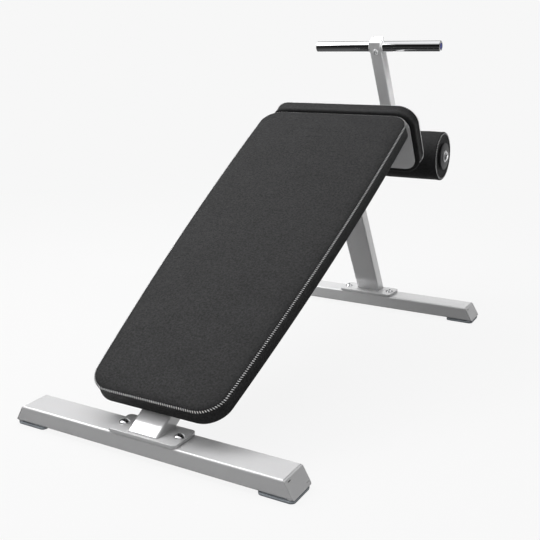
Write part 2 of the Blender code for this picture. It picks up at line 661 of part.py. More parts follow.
def rollers(slope):
    """The axle and the two padded rollers that turn on it."""
    axis = add_empty("roller_axis", slope, (0, ROLLER_Y, ARM_CENTRE))
    end = AXLE_HALF_LENGTH
    rod = [(0, end), (AXLE_RADIUS - AXLE_CHAMFER, end), (AXLE_RADIUS, end - AXLE_CHAMFER),
           (AXLE_RADIUS, AXLE_CHAMFER - end), (AXLE_RADIUS - AXLE_CHAMFER, -end), (0, -end)]
    turned("roller_axle", rod, ZINC_STEEL, axis, (0, 0, 0), TURN_TO_X)

    half = ROLLER_LENGTH / 2
    bore = ROLLER_CORE_RADIUS + GAP
    end_face = half - ROLLER_CROWN
    rim = ROLLER_RADIUS - ROLLER_SEAM
    waist = ROLLER_RADIUS - ROLLER_CROWN
    upper = [(bore, end_face), (HUB_RADIUS, end_face), (rim - ROLLER_SEAM, end_face), (rim, half),
             (ROLLER_RADIUS, half - ROLLER_SEAM / 2), (waist, half - 2 * ROLLER_SEAM),
             (ROLLER_RADIUS, half - ROLLER_SHOULDER)]
    cover = upper + [(radius, -height) for radius, height in reversed(upper)]
    inner = ROLLER_CORE_RADIUS - ROLLER_CORE_WALL
    core = [(ROLLER_CORE_RADIUS, end_face), (ROLLER_CORE_RADIUS, -end_face), (inner, -end_face),
            (inner, end_face)]
    running = AXLE_RADIUS + GAP
    spigot = inner - GAP
    seat = GAP - ROLLER_CROWN
    hub = [(HUB_RADIUS - HUB_EDGE, HUB_FLANGE), (HUB_RADIUS, HUB_FLANGE - HUB_EDGE), (HUB_RADIUS, seat),
           (spigot, seat), (spigot, -HUB_SPIGOT), (running, -HUB_SPIGOT), (running, HUB_FLANGE)]
    spacer = ROLLER_INNER - HUB_FLANGE - ARM_WIDTH / 2 - 2 * GAP
    for name, side in SIDES:
        middle = side * (ROLLER_INNER + half)
        spin = add_empty(f"roller_{name}_spin", axis, (middle, 0, 0))
        outward = (0, side * math.radians(90), 0)
        inward = (0, -side * math.radians(90), 0)
        turned(f"roller_cover_{name}", cover, BLACK_LEATHER, spin, (0, 0, 0), outward, ROLLER_STEPS)
        turned(f"roller_core_{name}", core, ZINC_STEEL, spin, (0, 0, 0), outward)
        turned(f"roller_hub_outer_{name}", hub, HUB_PLASTIC, spin, (side * half, 0, 0), outward)
        turned(f"roller_hub_inner_{name}", hub, HUB_PLASTIC, spin, (-side * half, 0, 0), inward)
        spacer_x = side * (ARM_WIDTH / 2 + GAP)
        washer(f"axle_spacer_{name}", SPACER_RADIUS, spacer, axis, spacer_x, outward)
        washer(f"axle_washer_{name}", WASHER_RADIUS, WASHER_THICKNESS, axis, side * WASHER_X, outward)
        domed_nut(f"axle_nut_{name}", axis, side * NUT_X, outward)


def build():
    front = add_empty("front_station", None, (0, FRONT_BEAM_Y, 0))
    rear = add_empty("rear_station", None, (0, REAR_BEAM_Y, 0))
    slope = add_empty("slope", None, (0, FRONT_BEAM_Y, 0), (SLOPE, 0, 0))
    for end, station in (("front", front), ("rear", rear)):
        foot_beam(end, station)
        base_plate(end, station)
    frame_tubes(slope)
    back_pad(slope)
    leg_pad(slope)
    roller_arm(slope)
    grip_post(slope)
    rollers(slope)


build()
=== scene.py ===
"""Looks of the abdominal bench: back pad, leg pad, ankle rollers, grip bar and welded steel frame.

Metres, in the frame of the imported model: +Z up, +X to one side, +Y from the low end to the high
end. Slope space is turned by the slope about the front foot beam: in it Y runs up along the back
pad and Z stands square to the pad.
"""

import math

import bmesh
import bpy
from bpy.props import FloatProperty, FloatVectorProperty, PointerProperty
from mathutils import Matrix, Vector, noise


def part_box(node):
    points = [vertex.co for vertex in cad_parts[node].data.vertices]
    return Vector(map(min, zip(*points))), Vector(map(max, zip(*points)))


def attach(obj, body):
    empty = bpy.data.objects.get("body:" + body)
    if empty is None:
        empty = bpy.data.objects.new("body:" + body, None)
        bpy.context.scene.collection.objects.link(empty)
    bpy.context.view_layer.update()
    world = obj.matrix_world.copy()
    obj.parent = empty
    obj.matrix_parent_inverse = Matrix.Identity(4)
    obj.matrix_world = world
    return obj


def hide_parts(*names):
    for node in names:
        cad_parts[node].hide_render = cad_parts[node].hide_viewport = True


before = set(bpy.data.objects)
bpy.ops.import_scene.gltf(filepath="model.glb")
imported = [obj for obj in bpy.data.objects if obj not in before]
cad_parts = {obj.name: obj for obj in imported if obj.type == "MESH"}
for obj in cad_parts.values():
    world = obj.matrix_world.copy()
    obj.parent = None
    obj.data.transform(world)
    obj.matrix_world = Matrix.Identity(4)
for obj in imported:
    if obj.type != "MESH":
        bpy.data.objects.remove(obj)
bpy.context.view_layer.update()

bl_info = {
    "name": "Abdominal bench",
    "version": (1, 0, 0),
    "blender": (4, 5, 0),
    "location": "View3D > Sidebar > Bench",
    "description": "Dresses the packed frame of a decline bench",
    "category": "Object",
}

# Mesh fineness
CORNER_STEPS = 6
EDGE_STEPS = 4
EASE_STEPS = 2
BOLT_STEPS = 36
PIPE_STEPS = 64
ROLLER_STEPS = 96
BEAD_SIDES = 6
BEAD_RINGS = 4
SMOOTH_ANGLE = math.radians(38)
MERGE = 0.000001
BATCH_SIZE = 600

# Names that come in pairs, with the way that a side faces
SIDES = (("left", -1), ("right", 1))
ENDS = ("front", "rear")
LEVELS = ("lower", "upper")

# The slope, and the space that is turned by it
QUARTER = math.radians(90)
SLOPE = math.radians(30)
SINE = math.sin(SLOPE)
COSINE = math.cos(SLOPE)
FRONT_Y = sum(corner.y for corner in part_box("front_foot_beam")) / 2
SLOPE_SPACE = Matrix.Translation((0, FRONT_Y, 0)) @ Matrix.Rotation(SLOPE, 4, "X")
UPRIGHT = Matrix.Identity(4)
ALONG_Y = Matrix.Rotation(-QUARTER, 4, "X")

# How nearly a face is square to a direction, and a point is at a height
SQUARE_ON = 0.99
LEVEL_WITH = 0.0001


def length(label, description, default):
    """A length that a user may change."""
    return FloatProperty(name=label, description=description, default=default, min=0.0,
                         precision=4, subtype="DISTANCE", unit="LENGTH")


def tint(label, description, default):
    """A colour that a user may change."""
    return FloatVectorProperty(name=label, description=description, default=default, size=3,
                               min=0.0, max=1.0, subtype="COLOR")


class BenchSizes(bpy.types.PropertyGroup):
    """Sizes of the detail on the bench."""

    tube_corner: length("Tube corner", "Radius along the edges of the rectangular tube", 0.005)
    cap_edge: length("Cap edge", "Chamfer of the top edge at the foot beams' ends", 0.0032)
    cap_depth: length("Cap depth", "Thickness of the end plates of the foot beams", 0.0016)
    seam_ease: length("Seam ease", "Chamfer on either side of a joint between steel pieces", 0.0013)
    plate_edge: length("Plate edge", "Rounding of the steel plates", 0.0009)
    weld_width: length("Weld width", "Width of a weld bead", 0.0036)
    weld_pitch: length("Weld pitch", "Distance between the ripples of a weld bead", 0.0019)
    pad_half_width: length("Pad half width", "Half the back pad's width at its middle", 0.2028)
    pad_bow: length("Pad bow", "How far the back pad's sides bow outwards", 0.0159)
    pad_taper: length("Pad taper", "How much wider the pad's high end is, on each side", 0.0308)
    pad_wall: length("Pad wall", "Height of the back pad's side wall", 0.0415)
    pad_corner: length("Pad corner", "Radius of the back pad's corners", 0.056)
    pad_crown: length("Pad crown", "How far the back pad's top rises over its seam", 0.0078)
    leg_wall: length("Leg pad wall", "Height of the leg pad's side wall", 0.038)
    leg_corner: length("Leg pad corner", "Radius of the leg pad's corners", 0.055)
    leg_crown: length("Leg pad crown", "How far the leg pad's front rises over its seam", 0.0068)
    stitch_pitch: length("Stitch pitch", "Distance between the stitches of a seam", 0.0059)
    stitch_reach: length("Stitch reach", "Length of a stitch across its seam", 0.0082)
    stitch_gauge: length("Stitch gauge", "Thickness of the sewing thread", 0.0022)
    roller_seam: length("Roller seam", "Rounding of a roller cover's ends", 0.0042)


class BenchColours(bpy.types.PropertyGroup):
    """Colours of the bench's finishes."""

    steel: tint("Steel paint", "Silver paint of the frame", (0.64, 0.64, 0.645))
    hide: tint("Upholstery", "Black upholstery of the pads and rollers", (0.020, 0.020, 0.0205))
    thread: tint("Thread", "Grey sewing thread", (0.90, 0.90, 0.905))
    chrome: tint("Chrome", "Chrome of the grip bar and the nuts", (0.86, 0.865, 0.875))
    zinc: tint("Zinc", "Zinc on bolts, washers and the axle", (0.74, 0.745, 0.75))
    rubber: tint("Rubber", "Rubber of the feet", (0.31, 0.335, 0.36))
    plastic: tint("Plastic", "Plastic of the roller hubs", (0.055, 0.055, 0.057))
    plug: tint("Plug", "Plastic of the grip bar's plugs", (0.015, 0.018, 0.095))
    board: tint("Board", "Stained plywood inside the pads", (0.045, 0.040, 0.036))
    paper: tint("Backdrop", "Floor and background of the studio", (0.93, 0.93, 0.93))


def slope_box(node):
    """The lowest and highest corner of a CAD node in slope space."""
    into = SLOPE_SPACE.inverted()
    places = [into @ vertex.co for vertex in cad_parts[node].data.vertices]
    return [Vector([furthest(place[axis] for place in places) for axis in range(3)])
            for furthest in (min, max)]


def centre(box):
    return (box[0] + box[1]) / 2


def on_slope(place, turn=UPRIGHT):
    """The space of a piece that stands at a place in slope space."""
    return SLOPE_SPACE @ Matrix.Translation(place) @ turn


def on_axis(x, axis, way=1):
    """The space of a turned piece that lies on an axis across the bench and faces along it."""
    return Matrix.Translation((x, axis.y, axis.z)) @ Matrix.Rotation(way * QUARTER, 4, "Y")


def of_type(items, kind):
    return [item for item in items if isinstance(item, kind)]


def add(tree, kind, inputs=None, **settings):
    """A shader node whose inputs are given as values or as the sockets that feed them."""
    node = tree.nodes.new("ShaderNode" + kind)
    for name, value in settings.items():
        setattr(node, name, value)
    for name, value in (inputs or {}).items():
        if isinstance(value, bpy.types.NodeSocket):
            tree.links.new(value, node.inputs[name])
        else:
            node.inputs[name].default_value = value
    return node


def calculate(tree, operation, first, second=0.0, clamp=False):
    node = add(tree, "Math", {0: first, 1: second}, operation=operation, use_clamp=clamp)
    return node.outputs[0]


def product(tree, first, second):
    return calculate(tree, "MULTIPLY", first, second)


def total(tree, first, second, clamp=False):
    return calculate(tree, "ADD", first, second, clamp)


def remap(tree, value, low, high, new_low, new_high):
    """A value between two limits stretched over a new range."""
    node = add(tree, "MapRange", {"Value": value, "From Min": low, "From Max": high,
                                  "To Min": new_low, "To Max": new_high})
    return node.outputs["Result"]


def shaded(tree, colour, amount):
    """A colour made darker or lighter by a value round one."""
    node = add(tree, "VectorMath", {0: colour, "Scale": amount}, operation="SCALE")
    return node.outputs["Vector"]


def grain(tree, place, scale, detail=2.0, roughness=0.5):
    """A noise between nought and one, its scale in waves to the metre."""
    node = add(tree, "TexNoise", {"Vector": place, "Scale": scale, "Detail": detail,
                                  "Roughness": roughness})
    return node.outputs["Fac"]


def varied(tree, place, scale, low, high, detail=3.0, roughness=0.5, span=(0.3, 0.7)):
    """A noise whose middle values are stretched over a range."""
    return remap(tree, grain(tree, place, scale, detail, roughness), *span, low, high)


def new_group(name, **inputs):
    """A node group for a surface: its tree, its inputs and the place on the piece."""
    tree = bpy.data.node_groups.new(name, "ShaderNodeTree")
    colour = tree.interface.new_socket("Colour", in_out="INPUT", socket_type="NodeSocketColor")
    colour.default_value = (0.5, 0.5, 0.5, 1.0)
    for label, value in inputs.items():
        socket = tree.interface.new_socket(label, in_out="INPUT", socket_type="NodeSocketFloat")
        socket.default_value = value
    for label, kind in (("Colour", "Color"), ("Roughness", "Float"), ("Height", "Float")):
        tree.interface.new_socket(label, in_out="OUTPUT", socket_type="NodeSocket" + kind)
    return tree, tree.nodes.new("NodeGroupInput").outputs, add(tree, "TexCoord").outputs["Object"]


def put_out(tree, colour, roughness, height):
    """Feeds a group's outputs and returns the group."""
    result = tree.nodes.new("NodeGroupOutput")
    for name, socket in (("Colour", colour), ("Roughness", roughness), ("Height", height)):
        tree.links.new(socket, result.inputs[name])
    return tree


def sprayed_paint():
    """Metallic paint: cloudy colour, fine flake and a slight orange peel."""
    tree, given, place = new_group("sprayed_paint", Gloss=0.36, Cloud=0.05)
    cloud = varied(tree, place, 11, -1.0, 1.0, 4)
    flake = varied(tree, place, 2200, 0.93, 1.07, 1)
    tone = product(tree, total(tree, product(tree, cloud, given["Cloud"]), 1.0), flake)
    uneven = varied(tree, place, 70, -0.012, 0.012)
    peel = grain(tree, place, 420)
    return put_out(tree, shaded(tree, given["Colour"], tone),
                   total(tree, given["Gloss"], uneven, True), peel)


def pressed_hide():
    """Upholstery with a fine pressed grain and a suede-like mottle, with painted shade darkening
    the grooves between the grain's pebbles.
    """
    tree, given, place = new_group("pressed_hide", Mottle=0.35, Gloss=0.6)
    patches = varied(tree, place, 210, -1.0, 1.0, 5, 0.66, (0.32, 0.68))
    clouds = varied(tree, place, 14, 0.94, 1.06)
    tone = total(tree, product(tree, patches, given["Mottle"]), 1.0)
    pebble = add(tree, "TexVoronoi", {"Vector": place, "Scale": 760.0}, feature="SMOOTH_F1")
    pebble = pebble.outputs["Distance"]
    # Painted shade: the colour is darker in the grooves between the pebbles, where the bump sinks.
    painted_groove_shade = remap(tree, pebble, 0.1, 0.75, 1.06, 0.90)
    tone = product(tree, product(tree, tone, clouds), painted_groove_shade)
    roughness = calculate(tree, "SUBTRACT", given["Gloss"], product(tree, patches, 0.10))
    height = calculate(tree, "SUBTRACT", product(tree, patches, 0.35), product(tree, pebble, 0.8))
    return put_out(tree, shaded(tree, given["Colour"], tone), roughness, height)


def worked_metal():
    """Plated metal: fine scratches, soft stains and a little unevenness."""
    tree, given, place = new_group("worked_metal", Gloss=0.2, Wear=0.05)
    stain = varied(tree, place, 45, -1.0, 1.0, 4, 0.6)
    scratch = varied(tree, place, 1500, -1.0, 1.0, 3, 0.7, (0.35, 0.65))
    worn = product(tree, stain, given["Wear"])
    tone = calculate(tree, "SUBTRACT", 1.0, calculate(tree, "ABSOLUTE", worn))
    fine = product(tree, scratch, product(tree, given["Wear"], 0.4))
    roughness = total(tree, given["Gloss"], total(tree, worn, fine), True)
    return put_out(tree, shaded(tree, given["Colour"], tone), roughness, scratch)


def moulded_skin():
    """Moulded rubber or plastic with an eroded fine texture."""
    tree, given, place = new_group("moulded_skin", Gloss=0.5, Grain=900.0)
    skin = grain(tree, place, given["Grain"], 3.0)
    dust = varied(tree, place, 60, 0.92, 1.12, 4, 0.6, (0.35, 0.7))
    tone = product(tree, dust, remap(tree, skin, 0.3, 0.7, 0.92, 1.08))
    roughness = total(tree, given["Gloss"], remap(tree, skin, 0.3, 0.7, -0.05, 0.05), True)
    return put_out(tree, shaded(tree, given["Colour"], tone), roughness, skin)


def spun_thread():
    """Sewing thread: fine twisted strands, lighter and darker from stitch to stitch."""
    tree, given, place = new_group("spun_thread", Gloss=0.7, Strands=2600.0)
    strands = add(tree, "TexWave", {"Vector": place, "Scale": given["Strands"], "Distortion": 3.0},
                  wave_type="BANDS", bands_direction="DIAGONAL").outputs["Fac"]
    fibre = varied(tree, place, 520, 0.72, 1.28, 3, 0.6)
    tone = product(tree, fibre, remap(tree, strands, 0.0, 1.0, 0.8, 1.15))
    roughness = total(tree, given["Gloss"], remap(tree, strands, 0.0, 1.0, -0.05, 0.05))
    return put_out(tree, shaded(tree, given["Colour"], tone), roughness, strands)


def sawn_layers():
    """Plywood: thin layers square to the board with a stained fibre over them."""
    tree, given, place = new_group("sawn_layers", Gloss=0.8, Fibre=90.0)
    stretched = add(tree, "Mapping", {"Vector": place, "Scale": (6.0, 1.0, 1.0)}).outputs["Vector"]
    fibre = grain(tree, stretched, given["Fibre"], 6.0, 0.65)
    tone = remap(tree, fibre, 0.3, 0.7, 0.65, 1.35)
    roughness = total(tree, given["Gloss"], remap(tree, fibre, 0.3, 0.7, -0.06, 0.06), True)
    return put_out(tree, shaded(tree, given["Colour"], tone), roughness, fibre)


# Finishes: pattern group, colour property, the group's other inputs, bump height, and the shader's
# own values
FINISHES = {
    "silver_paint": (sprayed_paint, "steel", {"Gloss": 0.38, "Cloud": 0.015}, 0.000012,
                     {"Metallic": 0.25, "Coat Weight": 1.0, "Coat Roughness": 0.03}),
    "black_leather": (pressed_hide, "hide", {"Mottle": 0.38, "Gloss": 0.60}, 0.00035,
                      {"Specular IOR Level": 0.12}),
    "seam_thread": (spun_thread, "thread", {"Gloss": 0.45, "Strands": 1900.0}, 0.0002,
                    {"Metallic": 0.5}),
    "chrome": (worked_metal, "chrome", {"Gloss": 0.07, "Wear": 0.03}, 0.000001, {"Metallic": 1.0}),
    "zinc_steel": (worked_metal, "zinc", {"Gloss": 0.28, "Wear": 0.08}, 0.000006,
                   {"Metallic": 0.45}),
    "bright_bolt": (worked_metal, "chrome", {"Gloss": 0.07, "Wear": 0.03}, 0.000002,
                    {"Metallic": 1.0}),
    "foot_rubber": (moulded_skin, "rubber", {"Gloss": 0.62, "Grain": 1300.0}, 0.00008, {}),
    "hub_plastic": (moulded_skin, "plastic", {"Gloss": 0.42, "Grain": 1100.0}, 0.00006,
                    {"Specular IOR Level": 0.2}),
    "plug_plastic": (moulded_skin, "plug", {"Gloss": 0.30, "Grain": 700.0}, 0.00002,
                     {"Specular IOR Level": 0.1}),
    "black_board": (sawn_layers, "board", {"Gloss": 0.82, "Fibre": 60.0}, 0.0002, {}),
}

# Names of the materials that are built, by their finish
READY = {}


def finish_of(name):
    """The material of that name, built when it is first asked for."""
    if name in READY:
        return bpy.data.materials[READY[name]]
    pattern, colour, values, relief, own = FINISHES[name]
    material = bpy.data.materials.new(name + "_finish")
    material.use_nodes = True
    tree = material.node_tree
    group = tree.nodes.new("ShaderNodeGroup")
    group.node_tree = bpy.data.node_groups.get(pattern.__name__) or pattern()
    group.inputs["Colour"].default_value = (*getattr(bpy.context.scene.bench_colours, colour), 1.0)
    for socket, value in values.items():
        group.inputs[socket].default_value = value
    bump = add(tree, "Bump", {"Height": group.outputs["Height"], "Distance": relief,
                              "Strength": 1.0})
    shader = tree.nodes["Principled BSDF"]
    for socket, value in own.items():
        shader.inputs[socket].default_value = value
    tree.links.new(group.outputs["Colour"], shader.inputs["Base Color"])
    tree.links.new(group.outputs["Roughness"], shader.inputs["Roughness"])
    tree.links.new(bump.outputs["Normal"], shader.inputs["Normal"])
    READY[name] = material.name
    return material


def mesh_of(bm, name):
    """The mesh of a bmesh, which is used up."""
    mesh = bpy.data.meshes.new(name)
    bm.to_mesh(mesh)
    bm.free()
    return mesh


def put_in(name, data):
    """A new object in the scene."""
    item = bpy.data.objects.new(name, data)
    bpy.context.scene.collection.objects.link(item)
    return item


def finished(bm, name, slot, replaces=(), body="frame", space=None, flat=False, finish=None):
    """Makes a bmesh a piece at the origin that rides on a body and stands for CAD nodes."""
    if space is not None:
        bmesh.ops.transform(bm, matrix=space, verts=bm.verts)
    bmesh.ops.recalc_face_normals(bm, faces=bm.faces)
    mesh = mesh_of(bm, name)
    mesh.shade_smooth()
    mesh.set_sharp_from_angle(angle=SMOOTH_ANGLE)
    mesh.materials.append(finish_of(finish or slot))
    piece = put_in(name, mesh)
    if flat:
        even = piece.modifiers.new("even_shading", "WEIGHTED_NORMAL")
        even.keep_sharp = True
    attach(piece, body)
    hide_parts(*replaces)
    return piece


def painted(bm, name, node, space=None):
    """A flat-sided steel piece in the frame's paint."""
    finished(bm, name, "silver_paint", (node,), space=space, flat=True)


def bar(box, corner, along):
    """A straight bar that fills a box, with rounded edges along one axis."""
    bm = bmesh.new()
    place = Matrix.Translation(centre(box)) @ Matrix.Diagonal((*(box[1] - box[0]), 1))
    bmesh.ops.create_cube(bm, size=1, matrix=place)
    edges = [edge for edge in bm.edges
             if abs((edge.verts[0].co - edge.verts[1].co).normalized()[along]) > COSINE]
    ease(bm, edges, corner, CORNER_STEPS)
    return bm


def ease(bm, edges, width, steps=EASE_STEPS):
    """Rounds or chamfers edges."""
    bmesh.ops.bevel(bm, geom=edges, offset=width, offset_type="OFFSET", affect="EDGES",
                    segments=steps, profile=0.5, material=-1)


def cut_flat(bm, point, normal):
    """Cuts off what lies beyond a plane, closes the cut and returns the edges round it."""
    cut = bmesh.ops.bisect_plane(bm, geom=bm.verts[:] + bm.edges[:] + bm.faces[:], plane_co=point,
                                 plane_no=normal, clear_outer=True)
    rim = of_type(cut["geom_cut"], bmesh.types.BMEdge)
    bmesh.ops.edgeloop_fill(bm, edges=rim)
    return rim


def upright_edges(edges):
    """Those of some edges that don't run from the front to the back."""
    return [edge for edge in edges
            if abs((edge.verts[0].co - edge.verts[1].co).normalized().y) < SINE]


def broadest(bm, normal, count):
    """The largest faces that are square to a direction, the very largest last."""
    bm.normal_update()
    square = [face for face in bm.faces if abs(face.normal.dot(normal)) > SQUARE_ON]
    return sorted(square, key=lambda face: face.calc_area())[-count:]


def rounded_rectangle(width, depth, radius):
    """Points of a rounded rectangle about the origin, counter-clockwise from the right side."""
    points = []
    for index, (sx, sy) in enumerate(((1, 1), (-1, 1), (-1, -1), (1, -1))):
        for step in range(CORNER_STEPS + 1):
            angle = QUARTER * (index + step / CORNER_STEPS)
            points.append((sx * (width / 2 - radius) + radius * math.cos(angle),
                           sy * (depth / 2 - radius) + radius * math.sin(angle)))
    return points


def stack(rings):
    """Skins a pile of rings of equally many points, closed at both ends; also its last face."""
    bm = bmesh.new()
    place = bm.verts.layers.int.new("place")
    first = [bm.verts.new(point) for point in rings[0]]
    for index, vertex in enumerate(first):
        vertex[place] = index
    edges = [bm.edges.new(pair) for pair in zip(first, first[1:] + first[:1])]
    bmesh.ops.edgeloop_fill(bm, edges=edges)
    for ring in rings[1:]:
        grown = bmesh.ops.extrude_edge_only(bm, edges=edges)["geom"]
        fresh = of_type(grown, bmesh.types.BMVert)
        for vertex in fresh:
            vertex.co = ring[vertex[place]]
        raised = set(fresh)
        edges = [edge for edge in of_type(grown, bmesh.types.BMEdge)
                 if raised.issuperset(edge.verts)]
    return bm, bmesh.ops.edgeloop_fill(bm, edges=edges)["faces"][0]


def quarter_round(radius):
    """Insets and heights of a rounded edge, from the flat below to the upright wall."""
    turns = [QUARTER * step / EDGE_STEPS for step in range(EDGE_STEPS + 1)]
    return [(radius * (1 - math.sin(turn)), radius * (1 - math.cos(turn))) for turn in turns]


def block(size, corner, profile, least=0.0):
    """A block with round corners on the origin, from the insets and heights of its side."""
    return stack([[(x, y, height)
                   for x, y in rounded_rectangle(size.x - 2 * inset, size.y - 2 * inset,
                                                 max(corner - inset, least))]
                  for inset, height in profile])[0]


def slab(size, corner, edge):
    """A plate with round corners and rounded edges that stands on the origin."""
    lower = quarter_round(edge)
    upper = [(inset, size.z - height) for inset, height in reversed(lower)]
    return block(size, corner, lower + upper, edge / 4)


def turned(profile, steps=PIPE_STEPS, closed=True):
    """Spins a profile of radii and heights round the Z axis."""
    bm = bmesh.new()
    points = [bm.verts.new((radius, 0, height)) for radius, height in profile]
    pairs = list(zip(points, points[1:]))
    if closed:
        pairs.append((points[-1], points[0]))
    edges = [bm.edges.new(pair) for pair in pairs]
    bmesh.ops.spin(bm, geom=points + edges, cent=(0, 0, 0), axis=(0, 0, 1), angle=math.tau,
                   steps=steps, use_merge=True)
    bmesh.ops.remove_doubles(bm, verts=bm.verts, dist=MERGE)
    return bm


def both_ends(upper):
    """The upper half of a profile with its mirror image below it."""
    return upper + [(radius, -height) for radius, height in reversed(upper)]


def evenly(path, pitch, closed):
    """Places an even pitch apart along a path of (point, outward) pairs, and the way it runs."""
    pairs = list(zip(path, path[1:]))
    if closed:
        pairs.append((path[-1], path[0]))
    lengths = [(end[0] - start[0]).length for start, end in pairs]
    count = max(round(sum(lengths) / pitch), 1)
    step = sum(lengths) / count
    travelled = 0.0
    made = 0
    for (start, end), reach in zip(pairs, lengths):
        while made < count and (made + 0.5) * step < travelled + reach:
            share = ((made + 0.5) * step - travelled) / reach
            yield (start[0].lerp(end[0], share), (end[0] - start[0]).normalized(),
                   start[1].lerp(end[1], share).normalized())
            made += 1
        travelled += reach


def spill(batch, bm):
    """Moves what is in a small bmesh into a large one, quicker than adding to the large one."""
    mesh = bpy.data.meshes.new("batch")
    batch.to_mesh(mesh)
    bm.from_mesh(mesh)
    bpy.data.meshes.remove(mesh)
    batch.clear()


def string_beads(path, pitch, size, slant=0.0, closed=True):
    """Small rounded beads along a path: stitches across a seam, or the ripples of a weld."""
    bm = bmesh.new()
    batch = bmesh.new()
    for place, along, outward in evenly(path, pitch, closed):
        across = outward.cross(along).normalized()
        basis = Matrix((along, across, along.cross(across))).transposed().to_4x4()
        lie = (Matrix.Translation(place) @ basis @ Matrix.Rotation(slant, 4, "Z")
               @ Matrix.Diagonal((*size, 1)))
        bmesh.ops.create_uvsphere(batch, u_segments=BEAD_SIDES, v_segments=BEAD_RINGS, radius=0.5,
                                  matrix=lie)
        if len(batch.verts) > BATCH_SIZE:
            spill(batch, bm)
    spill(batch, bm)
    batch.free()
    return bm


# A cushion round its board, up its wall and at its seam: the wall's points are shares of its
# height, and then insets and drops from its top
BOARD_MARGIN = 0.014
POCKET = 0.0153
RIM_ROUND = 0.006
WALL_DRAW = 0.0015
WALL_SHARES = (0.15, 0.3, 0.45, 0.6, 0.75, 0.88)
WALL_TOP = ((0.0002, 0.0026), (0.0006, 0.0008))
SEAM_DROP = 0.0014

# The cushion's outline and the grid of its top
LEAST_CORNER = 0.004
OUTLINE_PITCH = 0.0055
CORNER_POINTS = 14
GRID_PITCH = 0.016

# How a cushion's top rises inwards from its seam: inset, share of the crown, share of the folds
CROWN_STEPS = ((0.0010, 0.12, 0.1), (0.0022, 0.28, 0.4), (0.0038, 0.42, 0.8), (0.0060, 0.55, 1.0),
               (0.0090, 0.67, 0.9), (0.0130, 0.77, 0.7), (0.0180, 0.85, 0.45),
               (0.0250, 0.92, 0.25), (0.0330, 0.97, 0.1), (0.0430, 1.0, 0.0))
FOLD_LENGTH = 0.017
FOLD_DEPTH = 0.0006

# Slow unevenness of a top: rise, wavelength, and what is added to the seed
UNEVENNESS = ((0.0009, 0.11, 0), (0.0004, 0.035, 5))

# Seams: inset from the outline, rise over the wall, and how far the stitches lean up
BACK_SEAM = (0.0022, 0.0006, 1.6)
LEG_SEAM = (-0.0004, -0.0010, 0.35)
ROLLER_SEAM = (0.0048, -0.0002, 4.0)
ROLLER_STITCH = 0.95
STITCH_SLANT = math.radians(30)


def spread(low, high, pitch):
    """Values an even step of about the pitch apart, between two ends that are left out."""
    count = max(round(abs(high - low) / pitch), 1)
    return [low + (high - low) * step / count for step in range(1, count)]


def pad_outline(shape, inset):
    """Points round a pad with round corners, counter-clockwise. Every inset gives equally many."""
    half_length, half_width, bow, taper, corner = shape
    radius = max(corner - inset, LEAST_CORNER)
    straight = half_length - inset - radius

    def width_at(y):
        t = y / half_length
        return half_width + bow * (1 - t * t) + taper * t - inset

    lower = []
    for step in range(CORNER_POINTS + 1):
        turn = QUARTER * step / CORNER_POINTS
        y = -straight - radius * math.cos(turn)
        lower.append((width_at(y) - radius * (1 - math.sin(turn)), y))
    upper = [(width_at(-y) - (width_at(y) - x), -y) for x, y in reversed(lower)]
    sides = max(round(2 * (half_length - corner) / OUTLINE_PITCH), 2)
    middle = [-straight + 2 * straight * step / sides for step in range(1, sides)]
    right = lower + [(width_at(y), y) for y in middle] + upper
    across = max(round(2 * (half_width - corner) / OUTLINE_PITCH), 2)

    def end_line(half, y):
        return [(half - 2 * half * step / across, y) for step in range(1, across)]

    left = [(-x, y) for x, y in reversed(right)]
    return right + end_line(*right[-1]) + left + end_line(-right[0][0], right[0][1])


def fold_at(index, seed):
    """How deep the cover is drawn in at a point of the seam, from nought to one."""
    return 0.5 + 0.5 * noise.noise(Vector((index * OUTLINE_PITCH / FOLD_LENGTH, seed, 0)))


def undulation(x, y, seed):
    """The slow unevenness of a padded top."""
    return sum(rise * noise.noise(Vector((x / span, y / span, seed + more)))
               for rise, span, more in UNEVENNESS)


def crosscut(bm, face, pitch):
    """Divides a flat face into a grid."""
    cells = [face] + list(face.edges) + list(face.verts)
    for axis in (0, 1):
        reach = [vertex.co[axis] for vertex in of_type(cells, bmesh.types.BMVert)]
        normal = Vector((0, 0, 0))
        normal[axis] = 1
        for value in spread(min(reach), max(reach), pitch):
            cells = bmesh.ops.bisect_plane(bm, geom=cells, plane_co=normal * value,
                                           plane_no=normal)["geom"]


def outward_path(ring, height, tilt):
    """A closed path at one height, with the direction outwards from it and up by the tilt."""
    path = []
    for before, here, after in zip(ring[-1:] + ring[:-1], ring, ring[1:] + ring[:1]):
        way = Vector((after[0] - before[0], after[1] - before[1]))
        out = Vector((way.y, -way.x, 0)).normalized()
        path.append((Vector((here[0], here[1], height)),
                     (out + Vector((0, 0, tilt))).normalized()))
    return path


def sewn_seam(name, path, body="frame", space=None, scale=1.0):
    """Whipped stitches across a seam."""
    sizes = bpy.context.scene.bench_sizes
    size = Vector((sizes.stitch_gauge, sizes.stitch_reach, sizes.stitch_gauge)) * scale
    finished(string_beads(path, sizes.stitch_pitch * scale, size, STITCH_SLANT), name,
             "black_leather", body=body, space=space, finish="seam_thread")


def padded_cover(bm, name, node, body="frame", space=None):
    """A padded piece in black upholstery."""
    finished(bm, name, "black_leather", (node,), body, space)


